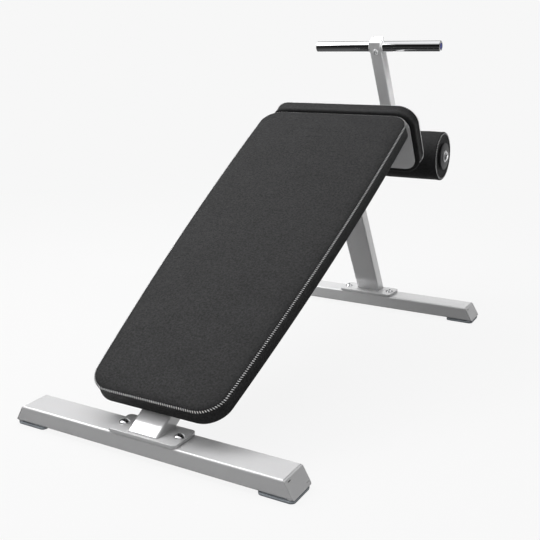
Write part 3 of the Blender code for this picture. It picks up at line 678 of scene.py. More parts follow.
def cushion(name, shape, wall, crown, place, seam, seed):
    """A cushion with a pocket for its board, drawn-in sides, a sewn seam and a crowned top."""
    profile = [(BOARD_MARGIN, POCKET, 0), (BOARD_MARGIN, 0.0, 0)]
    profile += [(inset, height, 0) for inset, height in quarter_round(RIM_ROUND)]
    profile += [(WALL_DRAW * math.sin(math.pi * share), RIM_ROUND + (wall - RIM_ROUND) * share, 0)
                for share in WALL_SHARES]
    profile += [(inset, wall - drop, 0) for inset, drop in WALL_TOP]
    profile.append((SEAM_DROP, wall, 0))
    profile += [(SEAM_DROP + inset, wall + crown * share, FOLD_DEPTH * folds)
                for inset, share, folds in CROWN_STEPS]
    bm, top = stack([[(x, y, height - depth * fold_at(index, seed))
                      for index, (x, y) in enumerate(pad_outline(shape, inset))]
                     for inset, height, depth in profile])
    crosscut(bm, top, GRID_PITCH)
    for vertex in bm.verts:
        rise = max(vertex.co.z - wall, 0) / crown
        vertex.co.z += rise * undulation(vertex.co.x, vertex.co.y, seed)
    padded_cover(bm, name, name + "_cushion", space=place)
    inset, lift, tilt = seam
    path = outward_path(pad_outline(shape, inset), wall + lift, tilt)
    sewn_seam(name + "_seam", path, space=place)


class BenchOperator:
    """What the bench's operators share."""

    bl_options = {"REGISTER", "UNDO"}

    def execute(self, context):
        self.make(context.scene.bench_sizes)
        return {"FINISHED"}


class BENCH_OT_back_pad(BenchOperator, bpy.types.Operator):
    """Make the back pad and its seam"""

    bl_idname = "bench.back_pad"
    bl_label = "Back pad"

    def make(self, sizes):
        low, high = slope_box("back_pad_cushion")
        shape = ((high.y - low.y) / 2, sizes.pad_half_width, sizes.pad_bow, sizes.pad_taper,
                 sizes.pad_corner)
        place = on_slope((0, (low.y + high.y) / 2, low.z))
        cushion("back_pad", shape, sizes.pad_wall, sizes.pad_crown, place, BACK_SEAM, seed=1.0)


class BENCH_OT_leg_pad(BenchOperator, bpy.types.Operator):
    """Make the leg pad and its seam"""

    bl_idname = "bench.leg_pad"
    bl_label = "Leg pad"

    def make(self, sizes):
        low, high = slope_box("leg_pad_cushion")
        shape = ((high.z - low.z) / 2, (high.x - low.x) / 2, 0, 0, sizes.leg_corner)
        place = on_slope((0, low.y, (low.z + high.z) / 2), ALONG_Y)
        cushion("leg_pad", shape, sizes.leg_wall, sizes.leg_crown, place, LEG_SEAM, seed=2.0)


# A roller's cover from its bore outwards: how deep its end face lies, radii and rises of the face,
# its lip, turns of the rounding, and insets and drops along its side, at first from the rounding
ROLLER_SINK = 0.0016
ROLLER_FACE = ((0.0253, 0.0), (0.040, 0.0), (0.055, 0.0004))
ROLLER_LIP = (0.004, 0.0010)
ROLLER_TURNS = (0.2, 0.5, 0.8, 1.1, 1.4)
ROLLER_SHOULDER = ((0.0001, 0.002), (0.0006, 0.008))
ROLLER_SIDE = ((0.0005, 0.020), (0.0002, 0.032), (0.0, 0.055), (0.0, 0.080))

# Unevenness of a roller's side: its seed, waves to the metre, height, and how deep it reaches
ROLLER_SEED = 3
ROLLER_WAVES = 26
ROLLER_WAVE = 0.0006
ROLLER_SKIN = 0.01

# A hub: its rim from the top as insets and drops, the stub inside the roller's tube, and chamfers
AXLE_BORE = 0.0083
HUB_SEAT = 0.0075
HUB_RIM = ((0.0012, 0.0), (0.0004, 0.0003), (0.0, 0.0010), (0.0, 0.0018), (0.0006, 0.0022),
           (0.0075, 0.0024), (0.0080, HUB_SEAT))
HUB_STUB = 0.0217
BORE_EASE = 0.0006
STUB_EASE = 0.0008


def ring_path(radius, x, outward):
    """A circle about the Z axis, with a direction that leans from its rim towards its end face."""
    path = []
    for step in range(ROLLER_STEPS):
        angle = math.tau * step / ROLLER_STEPS
        out = Vector((math.cos(angle), math.sin(angle), 0))
        path.append((out * radius + Vector((0, 0, x)),
                     (out + Vector((0, 0, outward))).normalized()))
    return path


class BENCH_OT_rollers(BenchOperator, bpy.types.Operator):
    """Make the two ankle rollers: covers, sewn ends and hubs"""

    bl_idname = "bench.rollers"
    bl_label = "Ankle rollers"

    def make(self, sizes):
        axis = centre(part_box("roller_axle"))
        inset, lift, tilt = ROLLER_SEAM
        for name, side in SIDES:
            body = "roller_" + name
            low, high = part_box("roller_cover_" + name)
            half = (high.x - low.x) / 2
            radius = (high.z - low.z) / 2
            place = on_axis(centre((low, high)).x, axis)
            bm = self.cover(half, radius, sizes.roller_seam, side * ROLLER_SEED)
            padded_cover(bm, "roller_pad_" + name, "roller_cover_" + name, body, place)
            ends = (("inner", -side), ("outer", side))
            for end, way in ends:
                path = ring_path(radius - inset, way * (half + lift), way * tilt)
                sewn_seam(f"roller_seam_{name}_{end}", path, body, place, ROLLER_STITCH)
            for end, way in ends:
                node = f"roller_hub_{end}_{name}"
                finished(self.hub(node, way), f"hub_{end}_{name}", "hub_plastic", (node,), body,
                         on_axis(0, axis, way))

    def cover(self, half, radius, seam, seed):
        """A taut cover with rounded, slightly sunken ends."""
        face = half - ROLLER_SINK
        bend = half - seam
        upper = [(reach, face + rise) for reach, rise in ROLLER_FACE]
        upper.append((radius - seam - ROLLER_LIP[0], face + ROLLER_LIP[1]))
        upper += [(radius - seam + seam * math.sin(turn), bend + seam * math.cos(turn))
                  for turn in ROLLER_TURNS]
        upper += [(radius - inset, bend - drop) for inset, drop in ROLLER_SHOULDER]
        upper += [(radius - inset, half - drop) for inset, drop in ROLLER_SIDE]
        bm = turned(both_ends(upper), ROLLER_STEPS)
        for vertex in bm.verts:
            if vertex.co.xy.length > radius - ROLLER_SKIN:
                out = Vector((vertex.co.x, vertex.co.y, 0)).normalized()
                flow = vertex.co * ROLLER_WAVES + Vector((seed, 0, 0))
                vertex.co += out * ROLLER_WAVE * noise.noise(flow)
        return bm

    def hub(self, node, way):
        """A plastic hub with a recessed rim and a stub that fills the roller's tube."""
        low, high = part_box(node)
        radius = (high.z - low.z) / 2
        bottom, top = (low.x, high.x) if way > 0 else (-high.x, -low.x)
        profile = [(AXLE_BORE, top - BORE_EASE), (AXLE_BORE + BORE_EASE, top)]
        profile += [(radius - inset, top - drop) for inset, drop in HUB_RIM]
        profile += [(HUB_STUB, top - HUB_SEAT), (HUB_STUB, bottom + STUB_EASE),
                    (HUB_STUB - STUB_EASE, bottom), (AXLE_BORE, bottom)]
        return turned(profile)


# Wall of the foot beams' tube, how far it is seen to be hollow, and how far its ends reach
TUBE_WALL = 0.003
BORE_DEPTH = 0.014
END_REACH = 0.0005

# End plates of the foot beams: gap behind them, their chamfers, the slots' length, and each slot's
# share of the way across, share of the way down, and height
SEAM_GAP = 0.0003
CAP_EASE = 0.0006
CHAMFER_EASE = 0.0007
VENT_LENGTH = 0.0100
VENTS = ((0.20, 0.19, 0.0023), (0.865, 0.80, 0.0011))

# A rubber foot from the floor up: radius of its corners, then inset and share of its height
FOOT_CORNER = 0.011
FOOT_PROFILE = ((0.0014, 0.0), (0.0006, 0.04), (0.0006, 0.08), (0.0040, 0.11), (0.0040, 0.22),
                (0.0005, 0.26), (0.0000, 0.33), (0.0000, 0.56), (0.0003, 0.64), (0.0010, 0.69),
                (0.0054, 0.73), (0.0054, 0.90), (0.0032, 0.93), (0.0030, 1.0))


class BENCH_OT_foot_beams(BenchOperator, bpy.types.Operator):
    """Make the foot beams with their end caps and rubber feet"""

    bl_idname = "bench.foot_beams"
    bl_label = "Foot beams"

    def make(self, sizes):
        for end in ENDS:
            low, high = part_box(end + "_foot_beam")
            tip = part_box(end + "_end_plate_right")[1].x
            box = (Vector((-tip, low.y, low.z)), Vector((tip, high.y, high.z)))
            beam = bar(box, sizes.tube_corner, 0)
            for name, side in SIDES:
                normal = Vector((side * COSINE, 0, SINE))
                foot = Vector((side * (tip + END_REACH), 0, low.z))
                seat = foot - normal * sizes.cap_depth
                self.chamfer_top(beam, foot, side, high.z, sizes.cap_edge)
                rim = cut_flat(beam, foot - normal * (sizes.cap_depth + SEAM_GAP), normal)
                ease(beam, upright_edges(rim), sizes.seam_ease)
                bore = broadest(beam, normal, 1)[0]
                bmesh.ops.inset_region(beam, faces=[bore], thickness=TUBE_WALL,
                                       use_even_offset=True)
                bmesh.ops.translate(beam, verts=bore.verts, vec=-normal * BORE_DEPTH)
                cap = bar(box, sizes.tube_corner, 0)
                self.chamfer_top(cap, foot, side, high.z, sizes.cap_edge)
                ease(cap, upright_edges(cut_flat(cap, seat, -normal)), CAP_EASE)
                ease(cap, cut_flat(cap, foot, normal), CAP_EASE)
                self.vents(cap, foot, side, low, high)
                painted(cap, f"{end}_beam_cap_{name}", f"{end}_end_plate_{name}")
                self.rubber_foot(f"{end}_rubber_foot_{name}", f"{end}_foot_{name}")
            painted(beam, end + "_beam_tube", end + "_foot_beam")

    def chamfer_top(self, bm, foot, side, top, width):
        """Chamfers the edge between the top and a slanting end."""
        edge = Vector((foot.x - side * (top - foot.z) * SINE / COSINE, 0, top))
        normal = Vector((side * SINE, 0, COSINE))
        ease(bm, cut_flat(bm, edge - Vector((side * width, 0, 0)), normal), CHAMFER_EASE)

    def vents(self, cap, foot, side, low, high):
        """Cuts the two small vent slots through an end plate."""
        normal = Vector((side * COSINE, 0, SINE))
        down = Vector((side * SINE, 0, -COSINE))
        thickness = bpy.context.scene.bench_sizes.cap_depth
        slant = (high.z - low.z) / COSINE
        walls = broadest(cap, normal, 2)
        for across, fall, gap in VENTS:
            middle = foot - down * (slant * (1 - fall))
            middle.y = low.y + (high.y - low.y) * across
            cells = walls + list({part for wall in walls for part in (*wall.edges, *wall.verts)})
            for way, reach in ((Vector((0, 1, 0)), VENT_LENGTH), (down, gap)):
                for turn in (-1, 1):
                    cells = bmesh.ops.bisect_plane(
                        cap, geom=cells, plane_co=middle + way * turn * reach / 2,
                        plane_no=way * turn)["geom"]
            openings, walls = [], []
            for spot in (middle, middle - normal * thickness):
                layer = [face for face in of_type(cells, bmesh.types.BMFace)
                         if abs((face.calc_center_median() - spot).dot(normal)) < thickness / 2]
                openings.append(
                    min(layer, key=lambda face: (face.calc_center_median() - spot).length))
                walls.append(max(layer, key=lambda face: face.calc_area()))
            rims = [edge for opening in openings for edge in opening.edges]
            bmesh.ops.delete(cap, geom=openings, context="FACES_ONLY")
            bmesh.ops.bridge_loops(cap, edges=rims)

    def rubber_foot(self, node, name):
        low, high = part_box(node)
        size = high - low
        middle = centre((low, high))
        bm = block(size, FOOT_CORNER, [(inset, size.z * share) for inset, share in FOOT_PROFILE])
        finished(bm, name, "foot_rubber", (node,),
                 space=Matrix.Translation((middle.x, middle.y, low.z)))


# The grip post's corners, and how far the thin front of the main beam's foot is cut back
POST_CORNER = 0.004
BLUNT_FOOT = 0.0046


class BENCH_OT_frame_tubes(BenchOperator, bpy.types.Operator):
    """Make the main beam, the upright, the roller arm and the grip post"""

    bl_idname = "bench.frame_tubes"
    bl_label = "Frame tubes"

    def make(self, sizes):
        tubes = (("main_beam", "main_beam_tube", 1, sizes.tube_corner),
                 ("rear_upright", "upright_tube", 2, sizes.tube_corner),
                 ("roller_arm", "roller_arm_tube", 1, sizes.tube_corner),
                 ("grip_post", "grip_post_tube", 2, POST_CORNER))
        for node, name, along, corner in tubes:
            bm = bar(slope_box(node), corner, along)
            bmesh.ops.transform(bm, matrix=SLOPE_SPACE, verts=bm.verts)
            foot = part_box(node)[0]
            if node in ("main_beam", "rear_upright"):
                cut_flat(bm, Vector((0, 0, foot.z)), Vector((0, 0, -1)))
            if node == "main_beam":
                cut_flat(bm, Vector((0, foot.y + BLUNT_FOOT, 0)), Vector((0, -1, 0)))
            painted(bm, name, node)


# Plates: corners of the base plates, rounding of the small plates' edges, and for each plate in
# slope space its node, its name, the axis that it is thin along and the radius of its corners
DECK_CORNER = 0.011
SMALL_PLATE_EDGE = 0.0012
PLATES = (("pad_bracket_lower", "lower_bracket", 2, 0.008),
          ("pad_bracket_upper", "upper_bracket", 2, 0.008),
          ("leg_pad_plate", "leg_plate", 1, 0.034),
          ("grip_post_top_plate", "post_cap", 2, 0.004),
          ("roller_arm_end_plate", "arm_cap", 1, 0.005))


class BENCH_OT_plates(BenchOperator, bpy.types.Operator):
    """Make the steel plates: base plates, brackets, leg pad plate and end plates"""

    bl_idname = "bench.plates"
    bl_label = "Steel plates"

    def make(self, sizes):
        for end in ENDS:
            node = end + "_base_plate"
            low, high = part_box(node)
            painted(slab(high - low, DECK_CORNER, sizes.plate_edge), end + "_deck_plate", node,
                    Matrix.Translation((0, centre((low, high)).y, low.z)))
        for node, name, thin, corner in PLATES:
            low, high = slope_box(node)
            size = high - low
            middle = centre((low, high))
            middle[thin] = low[thin]
            place = on_slope(middle)
            if thin == 1:
                size = size.xzy
                place = on_slope(middle, ALONG_Y)
            edge = sizes.plate_edge if node == "leg_pad_plate" else SMALL_PLATE_EDGE
            painted(slab(size, corner, edge), name, node, place)


# Weld beads: length of a ripple in pitches, height for its width, and where the brackets' beads lie
RIPPLE_LENGTH = 2.2
RIPPLE_RISE = 0.62
BRACKET_INSET = 0.0012
BRACKET_END = 0.004


class BENCH_OT_weld_beads(BenchOperator, bpy.types.Operator):
    """Lay the weld beads where tubes and plates meet"""

    bl_idname = "bench.weld_beads"
    bl_label = "Weld beads"

    def make(self, sizes):
        corner = sizes.tube_corner
        self.round_foot("main_beam_weld", "main_beam", 1 / SINE, 2, corner)
        self.round_foot("upright_weld", "rear_upright", 1 / COSINE, 1, corner)
        joints = (("upright_top_weld", "rear_upright", 2, 1, corner, -1.0),
                  ("arm_weld", "roller_arm", 1, 0, corner, 1.0),
                  ("post_weld", "grip_post", 2, 0, POST_CORNER, 1.0),
                  ("leg_plate_weld", "main_beam", 1, 1, corner, -1.0))
        for name, node, along, end, radius, tilt in joints:
            box = slope_box(node)
            middle = centre(box)
            middle[along] = box[end][along]
            across = 3 - along
            outline = rounded_rectangle(box[1].x * 2, box[1][across] - box[0][across], radius)
            space = on_slope(middle, ALONG_Y if along == 1 else UPRIGHT)
            self.bead(name, outward_path(outline, 0, tilt), space)
        reach = slope_box("main_beam")[1].x - BRACKET_INSET
        for level in LEVELS:
            low, high = slope_box("pad_bracket_" + level)
            for name, side in SIDES:
                out = Vector((side, 0, -1)).normalized()
                path = [(Vector((side * reach, y, low.z)), out)
                        for y in (low.y + BRACKET_END, high.y - BRACKET_END)]
                self.bead(f"bracket_weld_{level}_{name}", path, SLOPE_SPACE, closed=False)

    def round_foot(self, name, node, stretch, across, corner):
        """A bead round the foot of a sloping tube, on its base plate, but for its far side."""
        low, high = slope_box(node)
        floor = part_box(node)[0].z + LEVEL_WITH
        places = [vertex.co.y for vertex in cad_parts[node].data.vertices
                  if vertex.co.z < floor]
        outline = rounded_rectangle(high.x * 2, high[across] - low[across], corner)
        path = outward_path([(x, y * stretch) for x, y in outline], 0, 1.0)
        two_corners = 2 * (CORNER_STEPS + 1)
        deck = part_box("front_base_plate")[1].z
        place = Matrix.Translation((0, (min(places) + max(places)) / 2, deck))
        self.bead(name, path[-1:] + path[:two_corners + 1], place, closed=False)

    def bead(self, name, path, space, closed=True):
        sizes = bpy.context.scene.bench_sizes
        size = (sizes.weld_pitch * RIPPLE_LENGTH, sizes.weld_width, sizes.weld_width * RIPPLE_RISE)
        finished(string_beads(path, sizes.weld_pitch, size, 0.0, closed), name, "silver_paint",
                 space=space)


# Grip bar: how far its ends stop short of the solid's, its wall and how long that is seen, how far
# and how deep its ends are turned in, and the rounding of that rim as insets from the side and from
# the end
GRIP_SHORT = 0.0010
GRIP_WALL = 0.0020
GRIP_HOLLOW = 0.012
GRIP_RIM = 0.0058
GRIP_RIM_DEPTH = 0.0040
GRIP_LIP = 0.0004
GRIP_ROUND = ((0.0028, 0.0), (0.0017, 0.0002), (0.0008, 0.0008), (0.0003, 0.0015), (0.0, 0.0024))

# Its plug: play in the rim, shares of its radius with heights, then insets with heights
PLUG_PLAY = 0.0002
PLUG_DOME = ((0, 0.0010), (0.45, 0.0009), (0.75, 0.0006))
PLUG_SIDE = ((0.0012, 0.0), (0.0003, -0.0006), (0.0, -0.0014), (0.0, -0.0110))

# The rim round its hole in the post, as distances out from the bar and from the post
COLLAR = ((0.0001, 0.0), (0.0001, 0.0021), (0.0006, 0.0026), (0.0016, 0.0027), (0.0025, 0.0022),
          (0.0030, 0.0012), (0.0031, 0.0))


class BENCH_OT_grip_bar(BenchOperator, bpy.types.Operator):
    """Make the grip bar with its plugs and the rims of its holes in the post"""

    bl_idname = "bench.grip_bar"
    bl_label = "Grip bar"

    def make(self, sizes):
        low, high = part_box("grip_bar")
        middle = centre((low, high))
        radius = (high.z - low.z) / 2
        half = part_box("grip_bar_plug_right")[1].x - GRIP_SHORT
        hole = radius - GRIP_RIM
        inner = half - GRIP_RIM_DEPTH
        upper = [(radius - GRIP_WALL, half - GRIP_HOLLOW), (radius - GRIP_WALL, inner),
                 (hole, inner), (hole, half - GRIP_LIP), (hole + GRIP_LIP, half)]
        upper += [(radius - inset, half - drop) for inset, drop in GRIP_ROUND]
        finished(turned(both_ends(upper)), "grip_tube", "chrome", ("grip_bar",),
                 space=on_axis(middle.x, middle))
        rim = hole - PLUG_PLAY
        plug = [(rim * share, height) for share, height in PLUG_DOME]
        plug += [(rim - inset, height) for inset, height in PLUG_SIDE]
        plug.append((0, PLUG_SIDE[-1][1]))
        collar = [(radius + out, height) for out, height in COLLAR]
        post = slope_box("grip_post")[1].x
        for name, side in SIDES:
            finished(turned(plug, closed=False), "grip_plug_" + name, "plug_plastic",
                     ("grip_bar_plug_" + name,), space=on_axis(side * half, middle, side))
            finished(turned(collar), "grip_rim_" + name, "silver_paint",
                     space=on_axis(side * post, middle, side))


# A button head: its socket's share of the radius and of the height, how far the flats of the
# socket's hexagon reach for its corners, shares of its size and heights at its floor, how much it
# widens and how deep that is at its rim, the chamfer round it, shares of the radius up the head's
# crown and how much that is raised, and the chamfer under the head
SOCKET_SHARE = 0.46
SOCKET_DEPTH = 0.62
SOCKET_FLATS = 0.866
SOCKET_FLOOR = ((0.9, 0.0), (1.0, 0.0002))
SOCKET_RIM = ((0.0, 0.0004), (0.0003, 0.0001))
SOCKET_EASE = 0.0007
CROWN_SHARES = (0.58, 0.66, 0.74, 0.82, 0.90, 0.97, 1.0)
CROWN_LIFT = 0.0002
HEAD_EASE = 0.0003

# A pad screw's shank as a share of its head, the shanks of the base plates' bolts, and how much
# wider than the solid two kinds of head are drawn
SHANK_SHARE = 0.5
DECK_SHANK = 0.006
DECK_FLANGE = 0.0018
GRIP_SCREW_FLANGE = 0.0014

# Half the angle that one side of a hexagon takes up
HALF_FLAT = math.radians(30)


def hexagon_reach(across_flats, radius, angle):
    """How far a hexagon's flats let a circle reach at an angle."""
    from_flat = (angle + HALF_FLAT) % (2 * HALF_FLAT) - HALF_FLAT
    return min(radius, across_flats / 2 / math.cos(from_flat))


def around(reach, height, steps=BOLT_STEPS):
    """A ring whose reach is a function of the angle."""
    angles = [math.tau * step / steps for step in range(steps)]
    return [(reach(angle) * math.cos(angle), reach(angle) * math.sin(angle), height)
            for angle in angles]


def button_head(radius, height, shank, shank_length, flange=0.0):
    """A button-head bolt with a hexagon socket and maybe a flange, its head on the origin."""
    socket = SOCKET_SHARE * radius
    reach = radius + flange
    sphere = (reach ** 2 + height ** 2) / (2 * height)

    def hexagon(size):
        return lambda angle: hexagon_reach(socket * 2 * SOCKET_FLATS, size, angle)

    def circle(size):
        return lambda angle: size

    def crown(size):
        return height - sphere + math.sqrt(sphere ** 2 - size ** 2)

    crest = crown(socket + SOCKET_EASE)
    bottom = crest - height * SOCKET_DEPTH
    rings = [around(hexagon(socket * share), bottom + rise) for share, rise in SOCKET_FLOOR]
    rings += [around(hexagon(socket + wider), crest - drop) for wider, drop in SOCKET_RIM]
    rings.append(around(circle(socket + SOCKET_EASE), crest))
    rings += [around(circle(reach * share), crown(reach * share) + CROWN_LIFT)
              for share in CROWN_SHARES]
    rings += [around(circle(reach - HEAD_EASE), 0.0), around(circle(shank), 0.0),
              around(circle(shank), -shank_length)]
    return stack(rings)[0]


class BENCH_OT_fasteners(BenchOperator, bpy.types.Operator):
    """Make the bolts of the base plates and pads and the screw of the grip bar"""

    bl_idname = "bench.fasteners"
    bl_label = "Bolts and screws"

    def make(self, sizes):
        for end in ENDS:
            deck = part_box(end + "_base_plate")[1].z
            for name, _ in SIDES:
                node = f"{end}_plate_bolt_{name}"
                low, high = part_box(node)
                middle = centre((low, high))
                bm = button_head((high.x - low.x) / 2, high.z - deck, DECK_SHANK, deck - low.z,
                                 DECK_FLANGE)
                finished(bm, f"{end}_deck_bolt_{name}", "zinc_steel", (node,),
                         space=Matrix.Translation((middle.x, middle.y, deck)),
                         finish="bright_bolt")
        corners = [(level, f"{level}_{name}") for level in LEVELS for name, _ in SIDES]
        for level, corner in corners:
            self.head("pad_bolt_" + corner, "pad_head_" + corner, "pad_bracket_" + level, 2)
        for _, corner in corners:
            self.head("leg_pad_screw_" + corner, "leg_pad_head_" + corner, "leg_pad_plate", 1)
        self.head("grip_bar_screw", "grip_bar_head", "grip_post", 1, GRIP_SCREW_FLANGE)

    def head(self, node, name, carrier, axis, flange=0.0):
        """A button head on the low side of the piece that carries it, in slope space."""
        low, high = slope_box(node)
        face = slope_box(carrier)[0][axis]
        middle = centre((low, high))
        middle[axis] = face
        radius = (high.x - low.x) / 2
        bm = button_head(radius, face - low[axis], radius * SHANK_SHARE, high[axis] - face, flange)
        finished(bm, name, "zinc_steel", (node,),
                 space=on_slope(middle, Matrix.Rotation(axis * QUARTER, 4, "X")))


# A washer's rim at its foot and top, as insets and heights or drops
WASHER_FOOT = ((0.0003, 0.0), (0.0, 0.0003))
WASHER_TOP = ((0.0, 0.0008), (0.0003, 0.0003), (0.0009, 0.0))

# A domed nut: shares of its height that the bore and the hexagon take up, insets from its corners
# with heights or drops, insets from its flats on top of the hexagon, and angles up its dome
NUT_BORE = 0.66
NUT_HEXAGON = 0.5
NUT_FOOT = ((0.0009, 0.0), (0.0002, 0.0004), (0.0, 0.0010))
NUT_BROW = ((0.0, 0.0010), (0.0004, 0.0004))
NUT_LEDGE = (-0.0004, 0.0006)
DOME_INSET = 0.0009
DOME_ANGLES = (0, 12, 25, 38, 50, 62, 74, 84)


class BENCH_OT_axle_fittings(BenchOperator, bpy.types.Operator):
    """Make the washers and domed nuts on the axle"""

    bl_idname = "bench.axle_fittings"
    bl_label = "Axle fittings"

    def make(self, sizes):
        axis = centre(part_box("roller_axle"))
        for name, side in SIDES:
            for part, shape, piece, slot in (("axle_washer_", self.washer, "washer_", "zinc_steel"),
                                             ("axle_nut_", self.domed_nut, "cap_nut_", "chrome")):
                low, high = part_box(part + name)
                start = min(abs(low.x), abs(high.x))
                finished(shape(high - low), piece + name, slot, (part + name,),
                         space=on_axis(side * start, axis, side))

    def washer(self, size):
        radius = size.z / 2
        ring = [(AXLE_BORE, 0)]
        ring += [(radius - inset, height) for inset, height in WASHER_FOOT]
        ring += [(radius - inset, size.x - drop) for inset, drop in WASHER_TOP]
        ring.append((AXLE_BORE, size.x))
        return turned(ring)

    def domed_nut(self, size):
        across = min(size.y, size.z)
        height = size.x
        flat = across / 2
        corner = flat / math.cos(HALF_FLAT)
        hexagon = height * NUT_HEXAGON
        profile = [(AXLE_BORE, height * NUT_BORE), (AXLE_BORE, 0.0)]
        profile += [(corner - inset, level) for inset, level in NUT_FOOT]
        profile += [(corner - inset, hexagon - drop) for inset, drop in NUT_BROW]
        profile += [(flat - inset, hexagon) for inset in NUT_LEDGE]
        dome = flat - DOME_INSET
        for angle in DOME_ANGLES:
            rise = math.radians(angle)
            profile.append((dome * math.cos(rise), hexagon + (height - hexagon) * math.sin(rise)))
        return stack([around(lambda angle: hexagon_reach(across, radius, angle), level,
                             2 * BOLT_STEPS) for radius, level in profile])[0]


# CAD pieces that keep their shape, by the finish that they get
KEPT_NODES = {
    "zinc_steel": ["roller_axle"] + [
        f"{part}_{name}" for part in ("axle_spacer", "roller_core", "front_plate_nut",
                                      "rear_plate_nut") for name, _ in SIDES],
    "black_board": ["back_pad_board", "leg_pad_board"],
}


class BENCH_OT_kept_pieces(BenchOperator, bpy.types.Operator):
    """Give the CAD pieces that keep their shape their finish"""

    bl_idname = "bench.kept_pieces"
    bl_label = "Kept pieces"

    def make(self, sizes):
        for finish, nodes in KEPT_NODES.items():
            for node in nodes:
                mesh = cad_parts[node].data
                mesh.materials.clear()
                mesh.materials.append(finish_of(finish))


# Camera: place from the front foot beam's middle, turn, pitch, roll and lens
CAMERA_PLACE = (1.020845, -1.271274, 0.859308)
CAMERA_YAW = 0.515546
CAMERA_PITCH = 0.267952
CAMERA_ROLL = -0.004450
CAMERA_LENS = 53.65
SENSOR = 36.0

# Sky that lights the bench: height of the direction, brightness
SKY = ((-1.0, 0.13), (-0.62, 0.08), (-0.48, 0.045), (-0.2, 0.025), (0.05, 0.012), (0.25, 0.003),
       (0.48, 0.003), (0.60, 0.20), (0.72, 0.46), (0.80, 0.70), (0.88, 0.98), (1.0, 1.0))
SKY_BLUE = 1.005

# Where reflections see the bright floor behind the bench: direction backwards, and its height
BEHIND = (0.5, 0.75)
BELOW = (-0.02, -0.12)

# Lights: name, place, what it looks at, width, depth, power, seen in gloss, and spread in degrees
LIGHTS = (("overhead_strip", (-3.1, -0.7, 4.5), (-3.1, -0.699, 0.0), 3.1, 6.2, 144.0, True, 180),
          ("overhead_core", (-3.1, -0.88, 4.4), (-3.1, -0.879, 0.0), 1.3, 0.9, 34.0, True, 180),
          ("left_card", (-4.9, -2.6, 4.4), (0.0, -0.7, 0.06), 3.4, 3.0, 42.0, True, 180),
          ("bolt_card", (-5.2, -1.1, 2.6), (0.0, -0.7, 0.06), 2.6, 2.4, 22.0, True, 180),
          ("top_rear", (0.0, 1.0, 4.5), (0.0, 1.001, 0.0), 3.0, 3.0, 82.0, False, 180),
          ("rear_right_panel", (1.7, 3.4, 1.0), (1.2, 0.5, 1.0), 2.4, 1.8, 6.0, True, 180),
          ("rear_left_panel", (-2.0, 4.6, 1.0), (-0.4, 0.5, 0.7), 5.0, 2.0, 33.0, True, 180),
          ("low_front", (0.2, -2.7, 0.9), (0.0, -0.7, 0.05), 1.6, 0.8, 10.5, False, 180),
          ("post_fill", (-0.9, -0.7, 1.4), (0.0, 0.45, 0.8), 0.8, 0.8, 13.0, False, 180),
          ("post_side", (0.9, 0.32, 1.25), (0.02, 0.46, 0.875), 0.3, 0.3, 1.05, False, 40),
          ("right_fill", (3.2, -0.6, 0.9), (0.0, -0.4, 0.3), 2.4, 1.4, 9.0, False, 180))

# Floor: half its width, its own glow and paint as the camera sees them, its brightness to all else,
# and the distances between which it fades into the backdrop
FLOOR_HALF = 12.0
FLOOR_GLOW = 0.952
FLOOR_PAINT = 0.042
FLOOR_BOUNCE = 0.38
FLOOR_FADE = (1.2, 3.2)


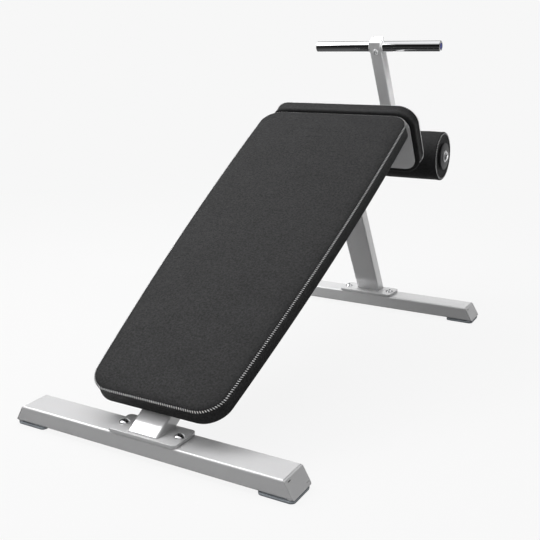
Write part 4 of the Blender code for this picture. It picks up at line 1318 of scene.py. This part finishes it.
class BENCH_OT_studio(BenchOperator, bpy.types.Operator):
    """Make the floor, the sky, the lights and the camera"""

    bl_idname = "bench.studio"
    bl_label = "Studio"

    def make(self, sizes):
        scene = bpy.context.scene
        paper = (*scene.bench_colours.paper, 1.0)
        self.floor(paper)
        scene.world = self.sky(paper)
        self.lights()
        scene.camera = self.camera()
        scene.view_settings.view_transform = "Standard"

    def lights(self):
        for name, place, target, width, depth, power, mirrored, spread_angle in LIGHTS:
            light = bpy.data.lights.new(name, "AREA")
            light.shape = "RECTANGLE"
            light.size = width
            light.size_y = depth
            light.energy = power
            light.spread = math.radians(spread_angle)
            lamp = put_in(name, light)
            lamp.visible_glossy = mirrored
            turn = (Vector(target) - Vector(place)).to_track_quat("-Z", "Y").to_matrix().to_4x4()
            lamp.matrix_world = Matrix.Translation(place) @ turn

    def camera(self):
        camera = bpy.data.cameras.new("camera")
        camera.lens = CAMERA_LENS
        camera.sensor_width = SENSOR
        camera.sensor_fit = "AUTO"
        holder = put_in("camera", camera)
        place = Vector(CAMERA_PLACE) + Vector((0, FRONT_Y, 0))
        holder.matrix_world = (Matrix.Translation(place) @ Matrix.Rotation(CAMERA_YAW, 4, "Z")
                               @ Matrix.Rotation(QUARTER - CAMERA_PITCH, 4, "X")
                               @ Matrix.Rotation(CAMERA_ROLL, 4, "Z"))
        return holder

    def floor(self, paper):
        bm = bmesh.new()
        bmesh.ops.create_grid(bm, x_segments=1, y_segments=1, size=FLOOR_HALF)
        floor = put_in("floor", mesh_of(bm, "floor"))
        floor.visible_glossy = False
        material = bpy.data.materials.new("floor_paper")
        material.use_nodes = True
        floor.data.materials.append(material)
        tree = material.node_tree
        tree.nodes.clear()
        place = add(tree, "TexCoord").outputs["Object"]
        away = add(tree, "VectorMath", {0: place}, operation="LENGTH").outputs["Value"]
        near = remap(tree, away, *FLOOR_FADE, 1.0, 0.0)
        paint, dull = [add(tree, "BsdfDiffuse", {"Color": (grey, grey, grey, 1.0)}).outputs[0]
                       for grey in (FLOOR_PAINT, FLOOR_BOUNCE)]
        glow, bare = [add(tree, "Emission", {"Color": paper, "Strength": power}).outputs[0]
                      for power in (FLOOR_GLOW, 1.0)]
        lit = add(tree, "AddShader", {0: paint, 1: glow}).outputs[0]
        seen = add(tree, "MixShader", {0: near, 1: bare, 2: lit}).outputs[0]
        self.show(tree, "OutputMaterial", seen, dull)

    def sky(self, paper):
        world = bpy.data.worlds.new("sky")
        world.use_nodes = True
        tree = world.node_tree
        tree.nodes.clear()
        direction = add(tree, "TexCoord").outputs["Generated"]
        apart = add(tree, "SeparateXYZ", {0: direction}).outputs
        ramp = add(tree, "ValToRGB", {"Fac": remap(tree, apart["Z"], -1.0, 1.0, 0.0, 1.0)})
        stops = ramp.color_ramp.elements
        for _ in range(len(SKY) - 2):
            stops.new(0.5)
        for stop, (level, bright) in zip(stops, SKY):
            stop.position = (level + 1) / 2
            stop.color = (bright, bright, bright * SKY_BLUE, 1.0)
        behind = remap(tree, apart["Y"], *BEHIND, 0.0, 1.0)
        below = remap(tree, apart["Z"], *BELOW, 0.0, 1.0)
        lit = add(tree, "Mix", {"Factor": product(tree, behind, below),
                                "A": ramp.outputs["Color"], "B": paper}, data_type="RGBA")
        dome, plain = [add(tree, "Background", {"Color": colour, "Strength": 1.0}).outputs[0]
                       for colour in (lit.outputs["Result"], paper)]
        self.show(tree, "OutputWorld", plain, dome)
        return world

    def show(self, tree, output, seen, other):
        """Shows the camera one thing and everything else another."""
        direct = add(tree, "LightPath").outputs["Is Camera Ray"]
        mixed = add(tree, "MixShader", {0: direct, 1: other, 2: seen})
        add(tree, output, {"Surface": mixed.outputs[0]})


OPERATORS = (BENCH_OT_studio, BENCH_OT_back_pad, BENCH_OT_leg_pad, BENCH_OT_rollers,
             BENCH_OT_foot_beams, BENCH_OT_frame_tubes, BENCH_OT_plates, BENCH_OT_weld_beads,
             BENCH_OT_grip_bar, BENCH_OT_fasteners, BENCH_OT_axle_fittings, BENCH_OT_kept_pieces)


class BENCH_PT_panel(bpy.types.Panel):
    """Lists what builds the bench"""

    bl_idname = "BENCH_PT_panel"
    bl_label = "Abdominal bench"
    bl_space_type = "VIEW_3D"
    bl_region_type = "UI"
    bl_category = "Bench"

    def draw(self, context):
        for operator in OPERATORS:
            self.layout.operator(operator.bl_idname)
        for group in (context.scene.bench_sizes, context.scene.bench_colours):
            box = self.layout.box()
            for name in group.bl_rna.properties.keys():
                if name not in ("rna_type", "name"):
                    box.prop(group, name)


CLASSES = (BenchSizes, BenchColours) + OPERATORS + (BENCH_PT_panel,)


def register():
    for cls in CLASSES:
        bpy.utils.register_class(cls)
    bpy.types.Scene.bench_sizes = PointerProperty(type=BenchSizes)
    bpy.types.Scene.bench_colours = PointerProperty(type=BenchColours)


def unregister():
    del bpy.types.Scene.bench_colours
    del bpy.types.Scene.bench_sizes
    for cls in reversed(CLASSES):
        bpy.utils.unregister_class(cls)


def main():
    """Builds the bench."""
    register()
    for operator in OPERATORS:
        group, action = operator.bl_idname.split(".")
        getattr(getattr(bpy.ops, group), action)()


if __name__ == "__main__":
    main()
